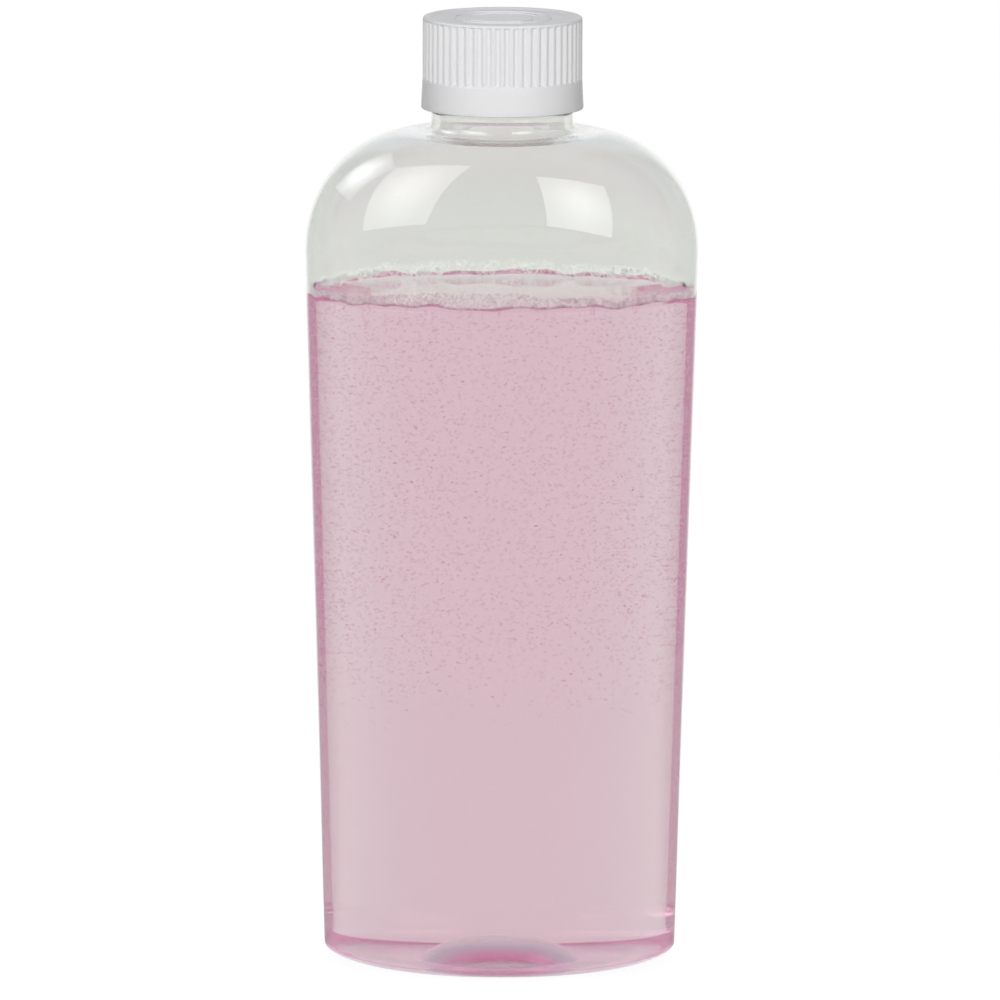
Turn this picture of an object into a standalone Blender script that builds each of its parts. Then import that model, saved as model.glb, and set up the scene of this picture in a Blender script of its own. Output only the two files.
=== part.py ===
"""Clear oval plastic bottle of pink liquid, closed by a white push-down-and-turn cap.

Metres, +Z up. The origin is in the middle of the base, on the surface that the bottle stands on.
The pieces are the blown bottle, the liquid in it, the sealing liner, the threaded inner cap and
the ribbed outer cap. Everything that moves turns or slides on the Z axis, up through the neck.
"""

import math
from collections import namedtuple

import bmesh
import bpy
from mathutils import Matrix, Vector

# General clearances
TOUCH_GAP = 0.0003  # left between pieces that touch
OVERRUN = 0.0004  # by which a cutter or a joined piece runs past a surface
WELD_DISTANCE = 0.000001

# Body of the bottle
BODY_WIDTH = 0.0836  # between the narrow ends, at the foot of the shoulder
BODY_DEPTH = 0.0574  # front to back, at the same height
FOOT_WIDTH = 0.0748  # between the narrow ends, at the top of the heel
FOOT_DEPTH = 0.0517  # front to back, at the same height
SHOULDER_FOOT = 0.1530  # height at which the shoulder starts
SHOULDER_HEIGHT = 0.0262  # from there up to the neck
BODY_WALL = 0.0006
FILL_DROP = 0.0085  # shoulder down to the level of the liquid

# Heel and base
HEEL_HEIGHT = 0.0042
HEEL_INSET_ENDS = 0.0155  # how far the heel draws in at the narrow ends
HEEL_INSET_FACES = 0.0060  # how far it draws in at the front and the back
FOOT_RING = 0.0022  # flat ring that the bottle stands on
PUSH_UP_RISE = 0.0062  # how high the middle of the base is pushed up

# Neck finish
FINISH_RADIUS = 0.01265  # threaded tube, without its thread
FINISH_HEIGHT = 0.0172  # shoulder to lip
NECK_WALL = 0.00185
COLLAR_SLOPE = 0.0005  # height of the slope from the plain collar in to the thread
SHOULDER_FILLET = 0.0015

# Thread
THREAD_PITCH = 0.0042333  # six turns to the inch
THREAD_DEPTH = 0.00115
THREAD_CLEARANCE = 0.0003
THREAD_DROP = 0.0019  # lip to the top turn
THREAD_FOOT_MARGIN = 0.0027  # collar slope to the bottle's last turn
SKIRT_FOOT_MARGIN = 0.0017  # inner cap's foot to the cap's last turn

# Liner and inner cap
LINER_THICKNESS = 0.0010
LINER_RIM_GAP = 0.0005  # between the liner's edge and the inner cap
INNER_TOP = 0.0011
INNER_WALL = 0.0011
INNER_CHAMFER = 0.0006
SNAP_LIP_HEIGHT = 0.0012
SNAP_LIP_STANDOUT = 0.0008

# Outer cap
CAP_FOOT_GAP = 0.0045  # shoulder to the foot of the closed cap
OUTER_TOP = 0.0012
OUTER_WALL = 0.00143
OUTER_ROUND = 0.0007  # rounded rim of the top
TOP_RIM_WIDTH = 0.0013
TOP_RECESS = 0.0003
BAND_HEIGHT = 0.0063  # plain band at the foot
BAND_FLARE = 0.0003
BEAD_CATCH = 0.0004  # how far the retaining bead reaches under the inner cap's lip
BEAD_SLOPE = 0.0007  # lead-in below the bead
BEAD_LAND = 0.0008  # plain part of the bead
COLLAR_CLEARANCE = 0.0005  # between the retaining bead and the bottle's collar
GROOVE_DEPTH = 0.0004
GROOVE_WIDTH = 0.0010
GROOVE_TOP_MARGIN = 0.0009  # top of the cap to the top of the grooves

# Drive lugs and spring fingers between the caps
LUG_HEIGHT = 0.0013
LUG_LENGTH = 0.0048
LUG_WIDTH = 0.0014
LUG_RIM_MARGIN = 0.0013
FINGER_RING_RADIUS = 0.0048
FINGER_LENGTH = 0.0046
FINGER_WIDTH = 0.0015
FINGER_THICKNESS = 0.0005

# Collections
PARTS = "oval_bottle"
TOOLS = "tools"

# Counts
OVAL_SIDES = 48
CAP_SIDES = 54
RIB_COUNT = 54
LUG_COUNT = 12
FINGER_COUNT = 4
THREAD_STEPS = 24  # points in one turn
SHOULDER_STEPS = 9
SIDE_STEPS = 4
HEEL_STEPS = 6
PUSH_UP_STEPS = 5
FILLET_STEPS = 3
ROUND_STEPS = 3
GROOVE_SIDES = 8
THREAD_BEVEL_STEPS = 2

# Shares without a unit
SECTION_SHARE = 2.17  # 2 is a plain ellipse, and more is fuller between the ends and the faces
SHOULDER_ENDS_SHARE = 2.11  # fullness of the shoulder towards the narrow ends
SHOULDER_FACES_SHARE = 1.9  # and towards the front and the back
PUSH_UP_SHARE = 3  # how square the pushed-up base is
THICK_SHOULDER_SHARE = 0.12  # part of the shoulder over which the neck's wall thins out
RIDGE_PITCH_SHARE = 0.21  # radius of the thread's ridge, as a share of the pitch
RIDGE_FADE_SHARE = 0.12  # share of a turn over which a ridge fades out
RIDGE_TIP_SHARE = 0.3  # size of a ridge at its very end

# Heights that follow from the sizes above
NECK_FOOT = SHOULDER_FOOT + SHOULDER_HEIGHT
LIP_HEIGHT = NECK_FOOT + FINISH_HEIGHT
FILL_HEIGHT = SHOULDER_FOOT - FILL_DROP
LINER_Z = LIP_HEIGHT + TOUCH_GAP
INNER_Z = LINER_Z + LINER_THICKNESS + TOUCH_GAP
OUTER_Z = INNER_Z + INNER_TOP + 2 * LUG_HEIGHT + TOUCH_GAP
OUTER_FOOT = NECK_FOOT + CAP_FOOT_GAP
BEAD_TOP = OUTER_FOOT + BEAD_SLOPE + BEAD_LAND
INNER_FOOT = BEAD_TOP + TOUCH_GAP
PUSH_TRAVEL = LUG_HEIGHT
THREAD_TOP = LIP_HEIGHT - THREAD_DROP

# Radii that follow from the sizes above
RIDGE_RADIUS = THREAD_PITCH * RIDGE_PITCH_SHARE
INNER_BORE = FINISH_RADIUS + THREAD_DEPTH + THREAD_CLEARANCE
INNER_RADIUS = INNER_BORE + INNER_WALL
SNAP_RADIUS = INNER_RADIUS + SNAP_LIP_STANDOUT
LINER_RADIUS = INNER_BORE - LINER_RIM_GAP
OUTER_BORE = INNER_RADIUS + TOUCH_GAP
OUTER_RADIUS = OUTER_BORE + OUTER_WALL
BAND_BORE = SNAP_RADIUS + TOUCH_GAP
BEAD_RADIUS = SNAP_RADIUS - BEAD_CATCH
COLLAR_RADIUS = BEAD_RADIUS - COLLAR_CLEARANCE
LUG_RING_RADIUS = INNER_RADIUS - INNER_CHAMFER - LUG_RIM_MARGIN - LUG_LENGTH / 2

QUARTER_TURN = math.pi / 2
HALF_TURN = math.pi
FULL_TURN = 2 * math.pi
SHARP_CORNER = math.radians(40)

# One level section of the bottle: wall is a share of the neck's wall, and fuller runs from 0 for
# a plain ellipse to 1 for the body's own section.
Section = namedtuple("Section", "half_width half_depth height wall fuller")


def clear_scene():
    """Take every object out of the open file."""
    for thing in list(bpy.data.objects):
        bpy.data.objects.remove(thing, do_unlink=True)


def add_collection(name):
    """Add a collection to the scene, unless there is one of that name."""
    collection = bpy.data.collections.get(name)
    if collection is None:
        collection = bpy.data.collections.new(name)
        bpy.context.scene.collection.children.link(collection)


def plain_material(name, colour, roughness, transmission, ior):
    """Principled material of one plastic or liquid."""
    material = bpy.data.materials.new(name)
    material.use_nodes = True
    shader = material.node_tree.nodes["Principled BSDF"]
    shader.inputs["Base Color"].default_value = (*colour, 1.0)
    shader.inputs["Roughness"].default_value = roughness
    shader.inputs["Metallic"].default_value = 0.0
    shader.inputs["Transmission Weight"].default_value = transmission
    shader.inputs["IOR"].default_value = ior
    return material


def add_object(name, mesh, collection=PARTS, parent=None, height=0.0):
    """Place a mesh on the Z axis, at a height above its parent's origin."""
    thing = bpy.data.objects.new(name, mesh)
    bpy.data.collections[collection].objects.link(thing)
    thing.parent = parent
    thing.location = (0.0, 0.0, height)
    return thing


def add_tool(name, mesh, parent):
    """Add a mesh that is only used to cut or join, hidden from renders."""
    tool = add_object(name, mesh, TOOLS, parent)
    tool.hide_render = True
    tool.display_type = "WIRE"
    return tool


def combine(thing, tool, operation):
    """Cut a tool out of a piece, or join it on."""
    modifier = thing.modifiers.new(tool.name, "BOOLEAN")
    modifier.operation = operation
    modifier.solver = "EXACT"
    modifier.object = tool


def shade(mesh):
    """Smooth the round faces and keep the corners sharp."""
    mesh.shade_smooth()
    mesh.set_sharp_from_angle(angle=SHARP_CORNER)


def mesh_from(name, work):
    """Turn a finished bmesh into mesh data."""
    mesh = bpy.data.meshes.new(name)
    work.to_mesh(mesh)
    work.free()
    shade(mesh)
    return mesh


def evaluated_mesh(thing):
    """Mesh of an object with its modifiers or curve bevel, its double points welded."""
    graph = bpy.context.evaluated_depsgraph_get()
    mesh = bpy.data.meshes.new_from_object(thing.evaluated_get(graph))
    work = bmesh.new()
    work.from_mesh(mesh)
    bmesh.ops.remove_doubles(work, verts=work.verts, dist=WELD_DISTANCE)
    work.to_mesh(mesh)
    work.free()
    shade(mesh)
    return mesh


def turned(name, profile):
    """Mesh of a profile turned round the Z axis, given as points (radius, height).

    The profile starts on the axis, runs down the outer side and comes back up the inner side.
    """
    outline = bpy.data.meshes.new(name + "_outline")
    points = [(radius, 0.0, height) for radius, height in profile]
    edges = [(start, start + 1) for start in range(len(points) - 1)]
    outline.from_pydata(points, edges, [])
    blank = add_object(name + "_blank", outline, TOOLS)
    screw = blank.modifiers.new("turn", "SCREW")
    screw.axis = "Z"
    screw.angle = FULL_TURN
    screw.steps = CAP_SIDES
    screw.render_steps = CAP_SIDES
    screw.use_merge_vertices = True
    screw.merge_threshold = WELD_DISTANCE
    mesh = evaluated_mesh(blank)
    mesh.name = name
    bpy.data.objects.remove(blank, do_unlink=True)
    return mesh


def signed_power(value, exponent):
    """Raise the size of a number to a power and keep its sign."""
    return math.copysign(abs(value) ** exponent, value)


def section_points(section):
    """Points of one level section, anticlockwise seen from above."""
    exponent = 2 / (2 + (SECTION_SHARE - 2) * section.fuller)
    points = []
    for side in range(OVAL_SIDES):
        angle = FULL_TURN * side / OVAL_SIDES
        across = section.half_width * signed_power(math.cos(angle), exponent)
        along = section.half_depth * signed_power(math.sin(angle), exponent)
        points.append(Vector((across, along, section.height)))
    return points


def loft(name, sections, middle_height, closed_top):
    """Skin a stack of sections from the top one down, and close the foot at its middle point."""
    work = bmesh.new()
    wall = work.verts.layers.deform.verify()
    loops = []
    for section in sections:
        loop = [work.verts.new(point) for point in section_points(section)]
        for vert in loop:
            vert[wall][0] = section.wall
        loops.append(loop)
    for upper, lower in zip(loops, loops[1:]):
        for side in range(OVAL_SIDES):
            after = (side + 1) % OVAL_SIDES
            work.faces.new((upper[side], lower[side], lower[after], upper[after]))
    middle = work.verts.new((0.0, 0.0, middle_height))
    middle[wall][0] = sections[-1].wall
    for side in range(OVAL_SIDES):
        after = (side + 1) % OVAL_SIDES
        work.faces.new((loops[-1][side], middle, loops[-1][after]))
    if closed_top:
        work.faces.new(loops[0])
    return mesh_from(name, work)


def neck_sections():
    """Lip, threaded tube, slope and plain collar, down to the fillet over the shoulder."""
    levels = [
        (FINISH_RADIUS, LIP_HEIGHT),
        (FINISH_RADIUS, INNER_FOOT),
        (COLLAR_RADIUS, INNER_FOOT - COLLAR_SLOPE),
    ]
    for step in range(FILLET_STEPS + 1):
        angle = QUARTER_TURN * step / FILLET_STEPS
        radius = COLLAR_RADIUS + SHOULDER_FILLET * (1 - math.cos(angle))
        height = NECK_FOOT + SHOULDER_FILLET * (1 - math.sin(angle))
        levels.append((radius, height))
    return [Section(radius, radius, height, 1.0, 0.0) for radius, height in levels]


def shoulder_sections():
    """Rounded shoulder, from the round neck out to the oval body."""
    neck = COLLAR_RADIUS + SHOULDER_FILLET
    thin = BODY_WALL / NECK_WALL
    sections = []
    for step in range(1, SHOULDER_STEPS + 1):
        angle = QUARTER_TURN * (1 - step / SHOULDER_STEPS)
        ends = math.cos(angle) ** (2 / SHOULDER_ENDS_SHARE)
        faces = math.cos(angle) ** (2 / SHOULDER_FACES_SHARE)
        rise = math.sin(angle) ** (2 / SHOULDER_ENDS_SHARE)
        thinned = min(1.0, step / (SHOULDER_STEPS * THICK_SHOULDER_SHARE))
        sections.append(
            Section(
                half_width=neck + (BODY_WIDTH / 2 - neck) * ends,
                half_depth=neck + (BODY_DEPTH / 2 - neck) * faces,
                height=SHOULDER_FOOT + SHOULDER_HEIGHT * rise,
                wall=1 + (thin - 1) * thinned,
                fuller=ends,
            )
        )
    return sections


def side_section(height, inset):
    """Section of the tapering side wall at a height, drawn in by an inset."""
    rise = (height - HEEL_HEIGHT) / (SHOULDER_FOOT - HEEL_HEIGHT)
    width = FOOT_WIDTH + (BODY_WIDTH - FOOT_WIDTH) * rise
    depth = FOOT_DEPTH + (BODY_DEPTH - FOOT_DEPTH) * rise
    return Section(width / 2 - inset, depth / 2 - inset, height, BODY_WALL / NECK_WALL, 1.0)


def side_sections(top, inset):
    """Side wall below a height, down to the top of the heel."""
    heights = [top + (HEEL_HEIGHT - top) * step / SIDE_STEPS for step in range(1, SIDE_STEPS + 1)]
    return [side_section(height, inset) for height in heights]


def heel_half_size(half_size, draw, angle, inset, lift):
    """Half width or half depth of the heel, at an angle down a quarter of an ellipse.

    Draw is how far the heel draws in. An inset moves its surface into the bottle square to itself.
    The height has already taken up the lift, so this moves inwards by what is left of the inset.
    """
    steepness = math.hypot(math.cos(angle) / draw, math.sin(angle) / HEEL_HEIGHT)
    inward = math.cos(angle) / draw / steepness
    upward = math.sin(angle) / HEEL_HEIGHT / steepness
    return half_size - draw * (1 - math.cos(angle)) - (inset - lift * upward) / inward


def base_sections(inset):
    """Rounded heel, flat foot ring and pushed-up base, moved into the bottle by an inset."""
    wall = BODY_WALL / NECK_WALL
    sections = []
    for step in range(1, HEEL_STEPS):
        angle = QUARTER_TURN * step / HEEL_STEPS
        lift = inset * math.sin(angle)
        half_width = heel_half_size(FOOT_WIDTH / 2, HEEL_INSET_ENDS, angle, inset, lift)
        half_depth = heel_half_size(FOOT_DEPTH / 2, HEEL_INSET_FACES, angle, inset, lift)
        height = HEEL_HEIGHT * (1 - math.sin(angle)) + lift
        sections.append(Section(half_width, half_depth, height, wall, 1.0))
    foot_width = FOOT_WIDTH / 2 - HEEL_INSET_ENDS
    foot_depth = FOOT_DEPTH / 2 - HEEL_INSET_FACES
    sections.append(Section(foot_width, foot_depth, inset, wall, 1.0))
    ring_width = foot_width - FOOT_RING
    ring_depth = foot_depth - FOOT_RING
    for step in range(PUSH_UP_STEPS):
        outward = 1 - step / PUSH_UP_STEPS
        slope = PUSH_UP_SHARE * PUSH_UP_RISE * outward ** (PUSH_UP_SHARE - 1) / ring_depth
        rise = PUSH_UP_RISE * (1 - outward**PUSH_UP_SHARE) + inset * math.hypot(1, slope)
        sections.append(Section(ring_width * outward, ring_depth * outward, rise, wall, 1.0))
    return sections


def thread_ridge(name, wall_radius, side, high, low, phase, parent):
    """Right-handed helical ridge on a round wall, fading into the wall at both ends.

    Side is 1 for a ridge that stands outwards and -1 for one that stands inwards. High and low
    are heights in the world, and phase is its angle level with the top turn.
    """
    curve = bpy.data.curves.new(name + "_curve", "CURVE")
    curve.dimensions = "3D"
    curve.bevel_depth = RIDGE_RADIUS
    curve.bevel_resolution = THREAD_BEVEL_STEPS
    curve.use_fill_caps = True
    steps = math.ceil(THREAD_STEPS * (high - low) / THREAD_PITCH)
    spline = curve.splines.new("POLY")
    spline.points.add(steps)
    for step in range(steps + 1):
        height = high + (low - high) * step / steps
        turns_to_end = min(high - height, height - low) / THREAD_PITCH
        full = min(1.0, turns_to_end / RIDGE_FADE_SHARE)
        size = RIDGE_TIP_SHARE + (1 - RIDGE_TIP_SHARE) * full
        proud = THREAD_DEPTH * full - OVERRUN * (1 - full)
        radius = wall_radius + side * (proud - RIDGE_RADIUS * size)
        angle = phase + FULL_TURN * (height - THREAD_TOP) / THREAD_PITCH
        place = (radius * math.cos(angle), radius * math.sin(angle), height, 1.0)
        spline.points[step].co = place
        spline.points[step].radius = size
    wire = bpy.data.objects.new(name + "_wire", curve)
    bpy.data.collections[TOOLS].objects.link(wire)
    mesh = evaluated_mesh(wire)
    mesh.transform(Matrix.Translation((0.0, 0.0, -parent_height(parent))))
    bpy.data.objects.remove(wire, do_unlink=True)
    return add_tool(name, mesh, parent)


def parent_height(thing):
    """Height of an object's origin in the world, summed up through its parents."""
    height = 0.0
    while thing:
        height += thing.location.z
        thing = thing.parent
    return height


def lug_ring(name, first_angle, middle_height, parent):
    """Ring of radial drive lugs, each a block about a given height."""
    work = bmesh.new()
    size = Matrix.Diagonal((LUG_LENGTH, LUG_WIDTH, LUG_HEIGHT + OVERRUN, 1.0))
    for lug in range(LUG_COUNT):
        turn = Matrix.Rotation(first_angle + FULL_TURN * lug / LUG_COUNT, 4, "Z")
        place = Matrix.Translation((LUG_RING_RADIUS, 0.0, middle_height))
        bmesh.ops.create_cube(work, size=1.0, matrix=turn @ place @ size)
    return add_tool(name, mesh_from(name, work), parent)


def spring_fingers(parent):
    """Sloping fingers on the inner cap's top, as they lie when they are pressed down."""
    work = bmesh.new()
    rise = LUG_HEIGHT + OVERRUN - FINGER_THICKNESS
    tilt = Matrix.Rotation(math.asin(rise / FINGER_LENGTH), 4, "X")
    size = Matrix.Diagonal((FINGER_WIDTH, FINGER_LENGTH, FINGER_THICKNESS, 1.0))
    middle = INNER_TOP + (LUG_HEIGHT - OVERRUN) / 2
    place = Matrix.Translation((FINGER_RING_RADIUS, 0.0, middle))
    for finger in range(FINGER_COUNT):
        turn = Matrix.Rotation(FULL_TURN * finger / FINGER_COUNT, 4, "Z")
        bmesh.ops.create_cube(work, size=1.0, matrix=turn @ place @ tilt @ size)
    return add_tool("spring_fingers", mesh_from("spring_fingers", work), parent)


def rib_grooves(foot, parent):
    """Upright cutters that leave the ribs standing between them."""
    work = bmesh.new()
    low = foot + BAND_HEIGHT
    high = OUTER_TOP - GROOVE_TOP_MARGIN
    radius = (GROOVE_WIDTH**2 / 4 + GROOVE_DEPTH**2) / (2 * GROOVE_DEPTH)
    place = Matrix.Translation((OUTER_RADIUS - GROOVE_DEPTH + radius, 0.0, (low + high) / 2))
    for rib in range(RIB_COUNT):
        turn = Matrix.Rotation(FULL_TURN * rib / RIB_COUNT, 4, "Z")
        bmesh.ops.create_cone(
            work,
            cap_ends=True,
            segments=GROOVE_SIDES,
            radius1=radius,
            radius2=radius,
            depth=high - low,
            matrix=turn @ place,
        )
    return add_tool("rib_grooves", mesh_from("rib_grooves", work), parent)


def make_bottle():
    """Blown bottle: one skin with its wall inside it, and the thread joined on."""
    sections = neck_sections() + shoulder_sections() + side_sections(SHOULDER_FOOT, 0.0)
    sections += base_sections(0.0)
    bottle = add_object("bottle", loft("bottle", sections, PUSH_UP_RISE, False))
    bottle.vertex_groups.new(name="wall")
    solidify = bottle.modifiers.new("wall", "SOLIDIFY")
    solidify.thickness = NECK_WALL
    solidify.offset = -1.0
    solidify.vertex_group = "wall"
    solidify.use_even_offset = True
    low = INNER_FOOT + THREAD_FOOT_MARGIN
    ridge = thread_ridge("bottle_thread", FINISH_RADIUS, 1, THREAD_TOP, low, 0.0, bottle)
    combine(bottle, ridge, "UNION")
    material = plain_material("clear_plastic", (0.83, 0.85, 0.83), 0.04, 1.0, 1.57)
    bottle.data.materials.append(material)
    return bottle


def make_liquid(bottle):
    """Liquid that fills the bottle to its level, just clear of the wall."""
    inset = BODY_WALL + TOUCH_GAP
    sections = [side_section(FILL_HEIGHT, inset)] + side_sections(FILL_HEIGHT, inset)
    sections += base_sections(inset)
    mesh = loft("liquid", sections, PUSH_UP_RISE + inset, True)
    liquid = add_object("liquid", mesh, PARTS, bottle)
    liquid.data.materials.append(plain_material("pink_liquid", (0.74, 0.51, 0.56), 0.0, 0.9, 1.34))
    return liquid


def make_liner(bottle):
    """Foam disc that seals on the lip of the neck."""
    work = bmesh.new()
    bmesh.ops.create_cone(
        work,
        cap_ends=True,
        segments=CAP_SIDES,
        radius1=LINER_RADIUS,
        radius2=LINER_RADIUS,
        depth=LINER_THICKNESS,
        matrix=Matrix.Translation((0.0, 0.0, LINER_THICKNESS / 2)),
    )
    liner = add_object("liner", mesh_from("liner", work), PARTS, bottle, LINER_Z)
    liner.data.materials.append(plain_material("liner_foam", (0.86, 0.86, 0.84), 0.7, 0.0, 1.5))
    return liner


def make_inner_cap(liner):
    """Threaded cap with drive lugs on its top and a snap lip round its foot."""
    foot = INNER_FOOT - INNER_Z
    profile = [
        (0.0, INNER_TOP),
        (INNER_RADIUS - INNER_CHAMFER, INNER_TOP),
        (INNER_RADIUS, INNER_TOP - INNER_CHAMFER),
        (INNER_RADIUS, foot + SNAP_LIP_HEIGHT + SNAP_LIP_STANDOUT),
        (SNAP_RADIUS, foot + SNAP_LIP_HEIGHT),
        (SNAP_RADIUS, foot),
        (INNER_BORE, foot),
        (INNER_BORE, 0.0),
        (0.0, 0.0),
    ]
    inner = add_object("inner_cap", turned("inner_cap", profile), PARTS, liner, INNER_Z - LINER_Z)
    lug_middle = INNER_TOP + (LUG_HEIGHT - OVERRUN) / 2
    combine(inner, lug_ring("inner_lugs", 0.0, lug_middle, inner), "UNION")
    combine(inner, spring_fingers(inner), "UNION")
    low = INNER_FOOT + SKIRT_FOOT_MARGIN
    ridge = thread_ridge("cap_thread", INNER_BORE, -1, THREAD_TOP, low, HALF_TURN, inner)
    combine(inner, ridge, "UNION")
    inner.data.materials.append(plain_material("inner_cap", (0.80, 0.80, 0.79), 0.4, 0.0, 1.5))
    return inner


def make_outer_cap(inner):
    """Ribbed shell that turns the inner cap only while it is pushed down."""
    foot = OUTER_FOOT - OUTER_Z
    bead_top = BEAD_TOP - OUTER_Z
    lip_room = TOUCH_GAP + SNAP_LIP_HEIGHT + SNAP_LIP_STANDOUT + PUSH_TRAVEL + TOUCH_GAP
    recess_radius = OUTER_RADIUS - OUTER_ROUND - TOP_RIM_WIDTH
    profile = [
        (0.0, OUTER_TOP - TOP_RECESS),
        (recess_radius, OUTER_TOP - TOP_RECESS),
        (recess_radius + TOP_RECESS, OUTER_TOP),
    ]
    for step in range(ROUND_STEPS + 1):
        angle = QUARTER_TURN * step / ROUND_STEPS
        radius = OUTER_RADIUS - OUTER_ROUND * (1 - math.sin(angle))
        height = OUTER_TOP - OUTER_ROUND * (1 - math.cos(angle))
        profile.append((radius, height))
    profile += [
        (OUTER_RADIUS, foot + BAND_HEIGHT),
        (OUTER_RADIUS + BAND_FLARE, foot),
        (BAND_BORE, foot),
        (BEAD_RADIUS, foot + BEAD_SLOPE),
        (BEAD_RADIUS, bead_top),
        (BAND_BORE, bead_top),
        (BAND_BORE, bead_top + lip_room),
        (OUTER_BORE, bead_top + lip_room),
        (OUTER_BORE, 0.0),
        (0.0, 0.0),
    ]
    outer = add_object("outer_cap", turned("outer_cap", profile), PARTS, inner, OUTER_Z - INNER_Z)
    combine(outer, rib_grooves(foot, outer), "DIFFERENCE")
    half_step = FULL_TURN / LUG_COUNT / 2
    lug_middle = (OVERRUN - LUG_HEIGHT) / 2
    combine(outer, lug_ring("outer_lugs", half_step, lug_middle, outer), "UNION")
    outer.data.materials.append(plain_material("white_cap", (0.82, 0.82, 0.81), 0.35, 0.0, 1.5))
    return outer


clear_scene()
add_collection(PARTS)
add_collection(TOOLS)
the_bottle = make_bottle()
make_liquid(the_bottle)
the_inner_cap = make_inner_cap(make_liner(the_bottle))
make_outer_cap(the_inner_cap)
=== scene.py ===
"""The looks of a clear oval bottle of pink liquid under a white push-down-and-turn cap.

The frame gives the pieces, the bodies and the outer sizes. This script makes the surfaces that show:
the blown bottle, the liquid with its foam and fine bubbles, and the ribbed cap, each with its finish.
Metres, +Z up, the origin in the middle of the base, and -Y towards the camera. An angle round the
bottle is measured from +X towards +Y, seen from above.
"""

import logging
import math
from dataclasses import dataclass, field
from enum import Enum

import bpy
import numpy as np
from mathutils import Matrix, Vector


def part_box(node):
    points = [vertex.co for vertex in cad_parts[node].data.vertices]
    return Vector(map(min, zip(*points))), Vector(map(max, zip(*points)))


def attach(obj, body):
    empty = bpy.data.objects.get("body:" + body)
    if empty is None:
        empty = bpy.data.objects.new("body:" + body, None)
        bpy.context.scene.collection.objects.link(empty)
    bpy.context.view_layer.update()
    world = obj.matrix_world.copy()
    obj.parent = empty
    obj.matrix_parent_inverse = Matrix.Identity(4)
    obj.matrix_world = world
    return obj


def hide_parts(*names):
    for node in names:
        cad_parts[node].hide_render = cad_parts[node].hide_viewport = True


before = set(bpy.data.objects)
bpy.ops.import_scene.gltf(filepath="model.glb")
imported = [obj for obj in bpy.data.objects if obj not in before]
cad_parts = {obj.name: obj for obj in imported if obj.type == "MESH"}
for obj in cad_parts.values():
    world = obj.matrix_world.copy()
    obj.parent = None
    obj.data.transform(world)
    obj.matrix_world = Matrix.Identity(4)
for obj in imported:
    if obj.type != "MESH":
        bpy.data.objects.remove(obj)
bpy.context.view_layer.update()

FULL_TURN = 2 * math.pi
QUARTER_TURN = math.pi / 2
MM = 0.001
UPRIGHT = np.array([0.0, 0.0, 1.0])
NUMBER = "NodeSocketFloat"
COLOUR = "NodeSocketColor"
WHITE = (1.0, 1.0, 1.0)

Array = np.ndarray
Node = bpy.types.Node
Socket = bpy.types.NodeSocket
Triple = tuple[float, float, float]

log = logging.getLogger("bottle_looks")


class Side(Enum):
    """Broad face of the bottle, by the sign of its outward Y."""

    FRONT = -1
    BACK = 1


class Ramp(Enum):
    """Way from one value to another."""

    STRAIGHT = "LINEAR"
    SMOOTH = "SMOOTHSTEP"


def smooth_step(low: float, high: float, value: Array) -> Array:
    """Rise smoothly from 0 at low to 1 at high.

    Args:
        low: Value at which the rise starts.
        high: Value at which it ends, which may be less than low.
        value: Values to map.

    Returns:
        3t^2 - 2t^3, where t is the clamped share of the way from low to high.
    """
    share = np.clip((value - low) / (high - low), 0.0, 1.0)
    return share * share * (3.0 - 2.0 * share)


def waver(angle: Array, waves: tuple[Triple, ...]) -> Array:
    """Sum of sines round a ring, each given by its size, its whole number of waves and its phase."""
    return sum(size * np.sin(number * angle + phase) for size, number, phase in waves)


def ring_angles(columns: int) -> Array:
    """Angles of a full ring, evenly spaced from 0, without the closing one."""
    return np.arange(columns) * FULL_TURN / columns


def arc(radius: float, height: float, size: float, turns: Array) -> list[tuple[float, float]]:
    """Points of an outline round a middle, at turns that are measured from outwards towards upwards."""
    return list(zip(radius + size * np.cos(turns), height + size * np.sin(turns)))


def oval(half_width: Array, half_depth: Array, height: Array, angle: Array,
         power: Array | float = 2.0) -> Array:
    """Points of level superellipses.

    x is the half width times the cosine, and y the half depth times the sine, each raised to 2 / power
    with its sign kept. A power of 2 is a plain ellipse. More is fuller, and less is more pointed.

    Args:
        half_width: Half of each section's size along X.
        half_depth: Half of each section's size along Y.
        height: Height of each section.
        angle: Angle of each point.
        power: Power of each superellipse.

    Returns:
        Points of the shape that the arguments broadcast to, with a last axis of three.
    """
    share = 2.0 / power
    cosine, sine = np.cos(angle), np.sin(angle)
    x = half_width * np.sign(cosine) * np.abs(cosine) ** share
    y = half_depth * np.sign(sine) * np.abs(sine) ** share
    return np.stack(np.broadcast_arrays(x, y, height), axis=-1)


def grid_normals(points: Array) -> Array:
    """Unit normals of a stack of closed rings: the ring's direction crossed with the stack's."""
    along_ring = np.roll(points, -1, axis=1) - np.roll(points, 1, axis=1)
    normal = np.cross(along_ring, np.gradient(points, axis=0))
    return normal / np.linalg.norm(normal, axis=-1, keepdims=True)


def ring_quads(rows: int, columns: int, closed: bool = False) -> Array:
    """Four-sided faces between neighbouring rings of a stack.

    Args:
        rows: Rings in the stack.
        columns: Points in a ring.
        closed: Whether the last ring is joined to the first.

    Returns:
        Corner numbers, a row for each face.
    """
    column = np.arange(columns)
    after = (column + 1) % columns
    number = np.arange(rows if closed else rows - 1)[:, None]
    row = number * columns
    above = (number + 1) % rows * columns
    quads = np.stack([row + column, row + after, above + after, above + column], axis=-1)
    return quads.reshape(-1, 4)


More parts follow.
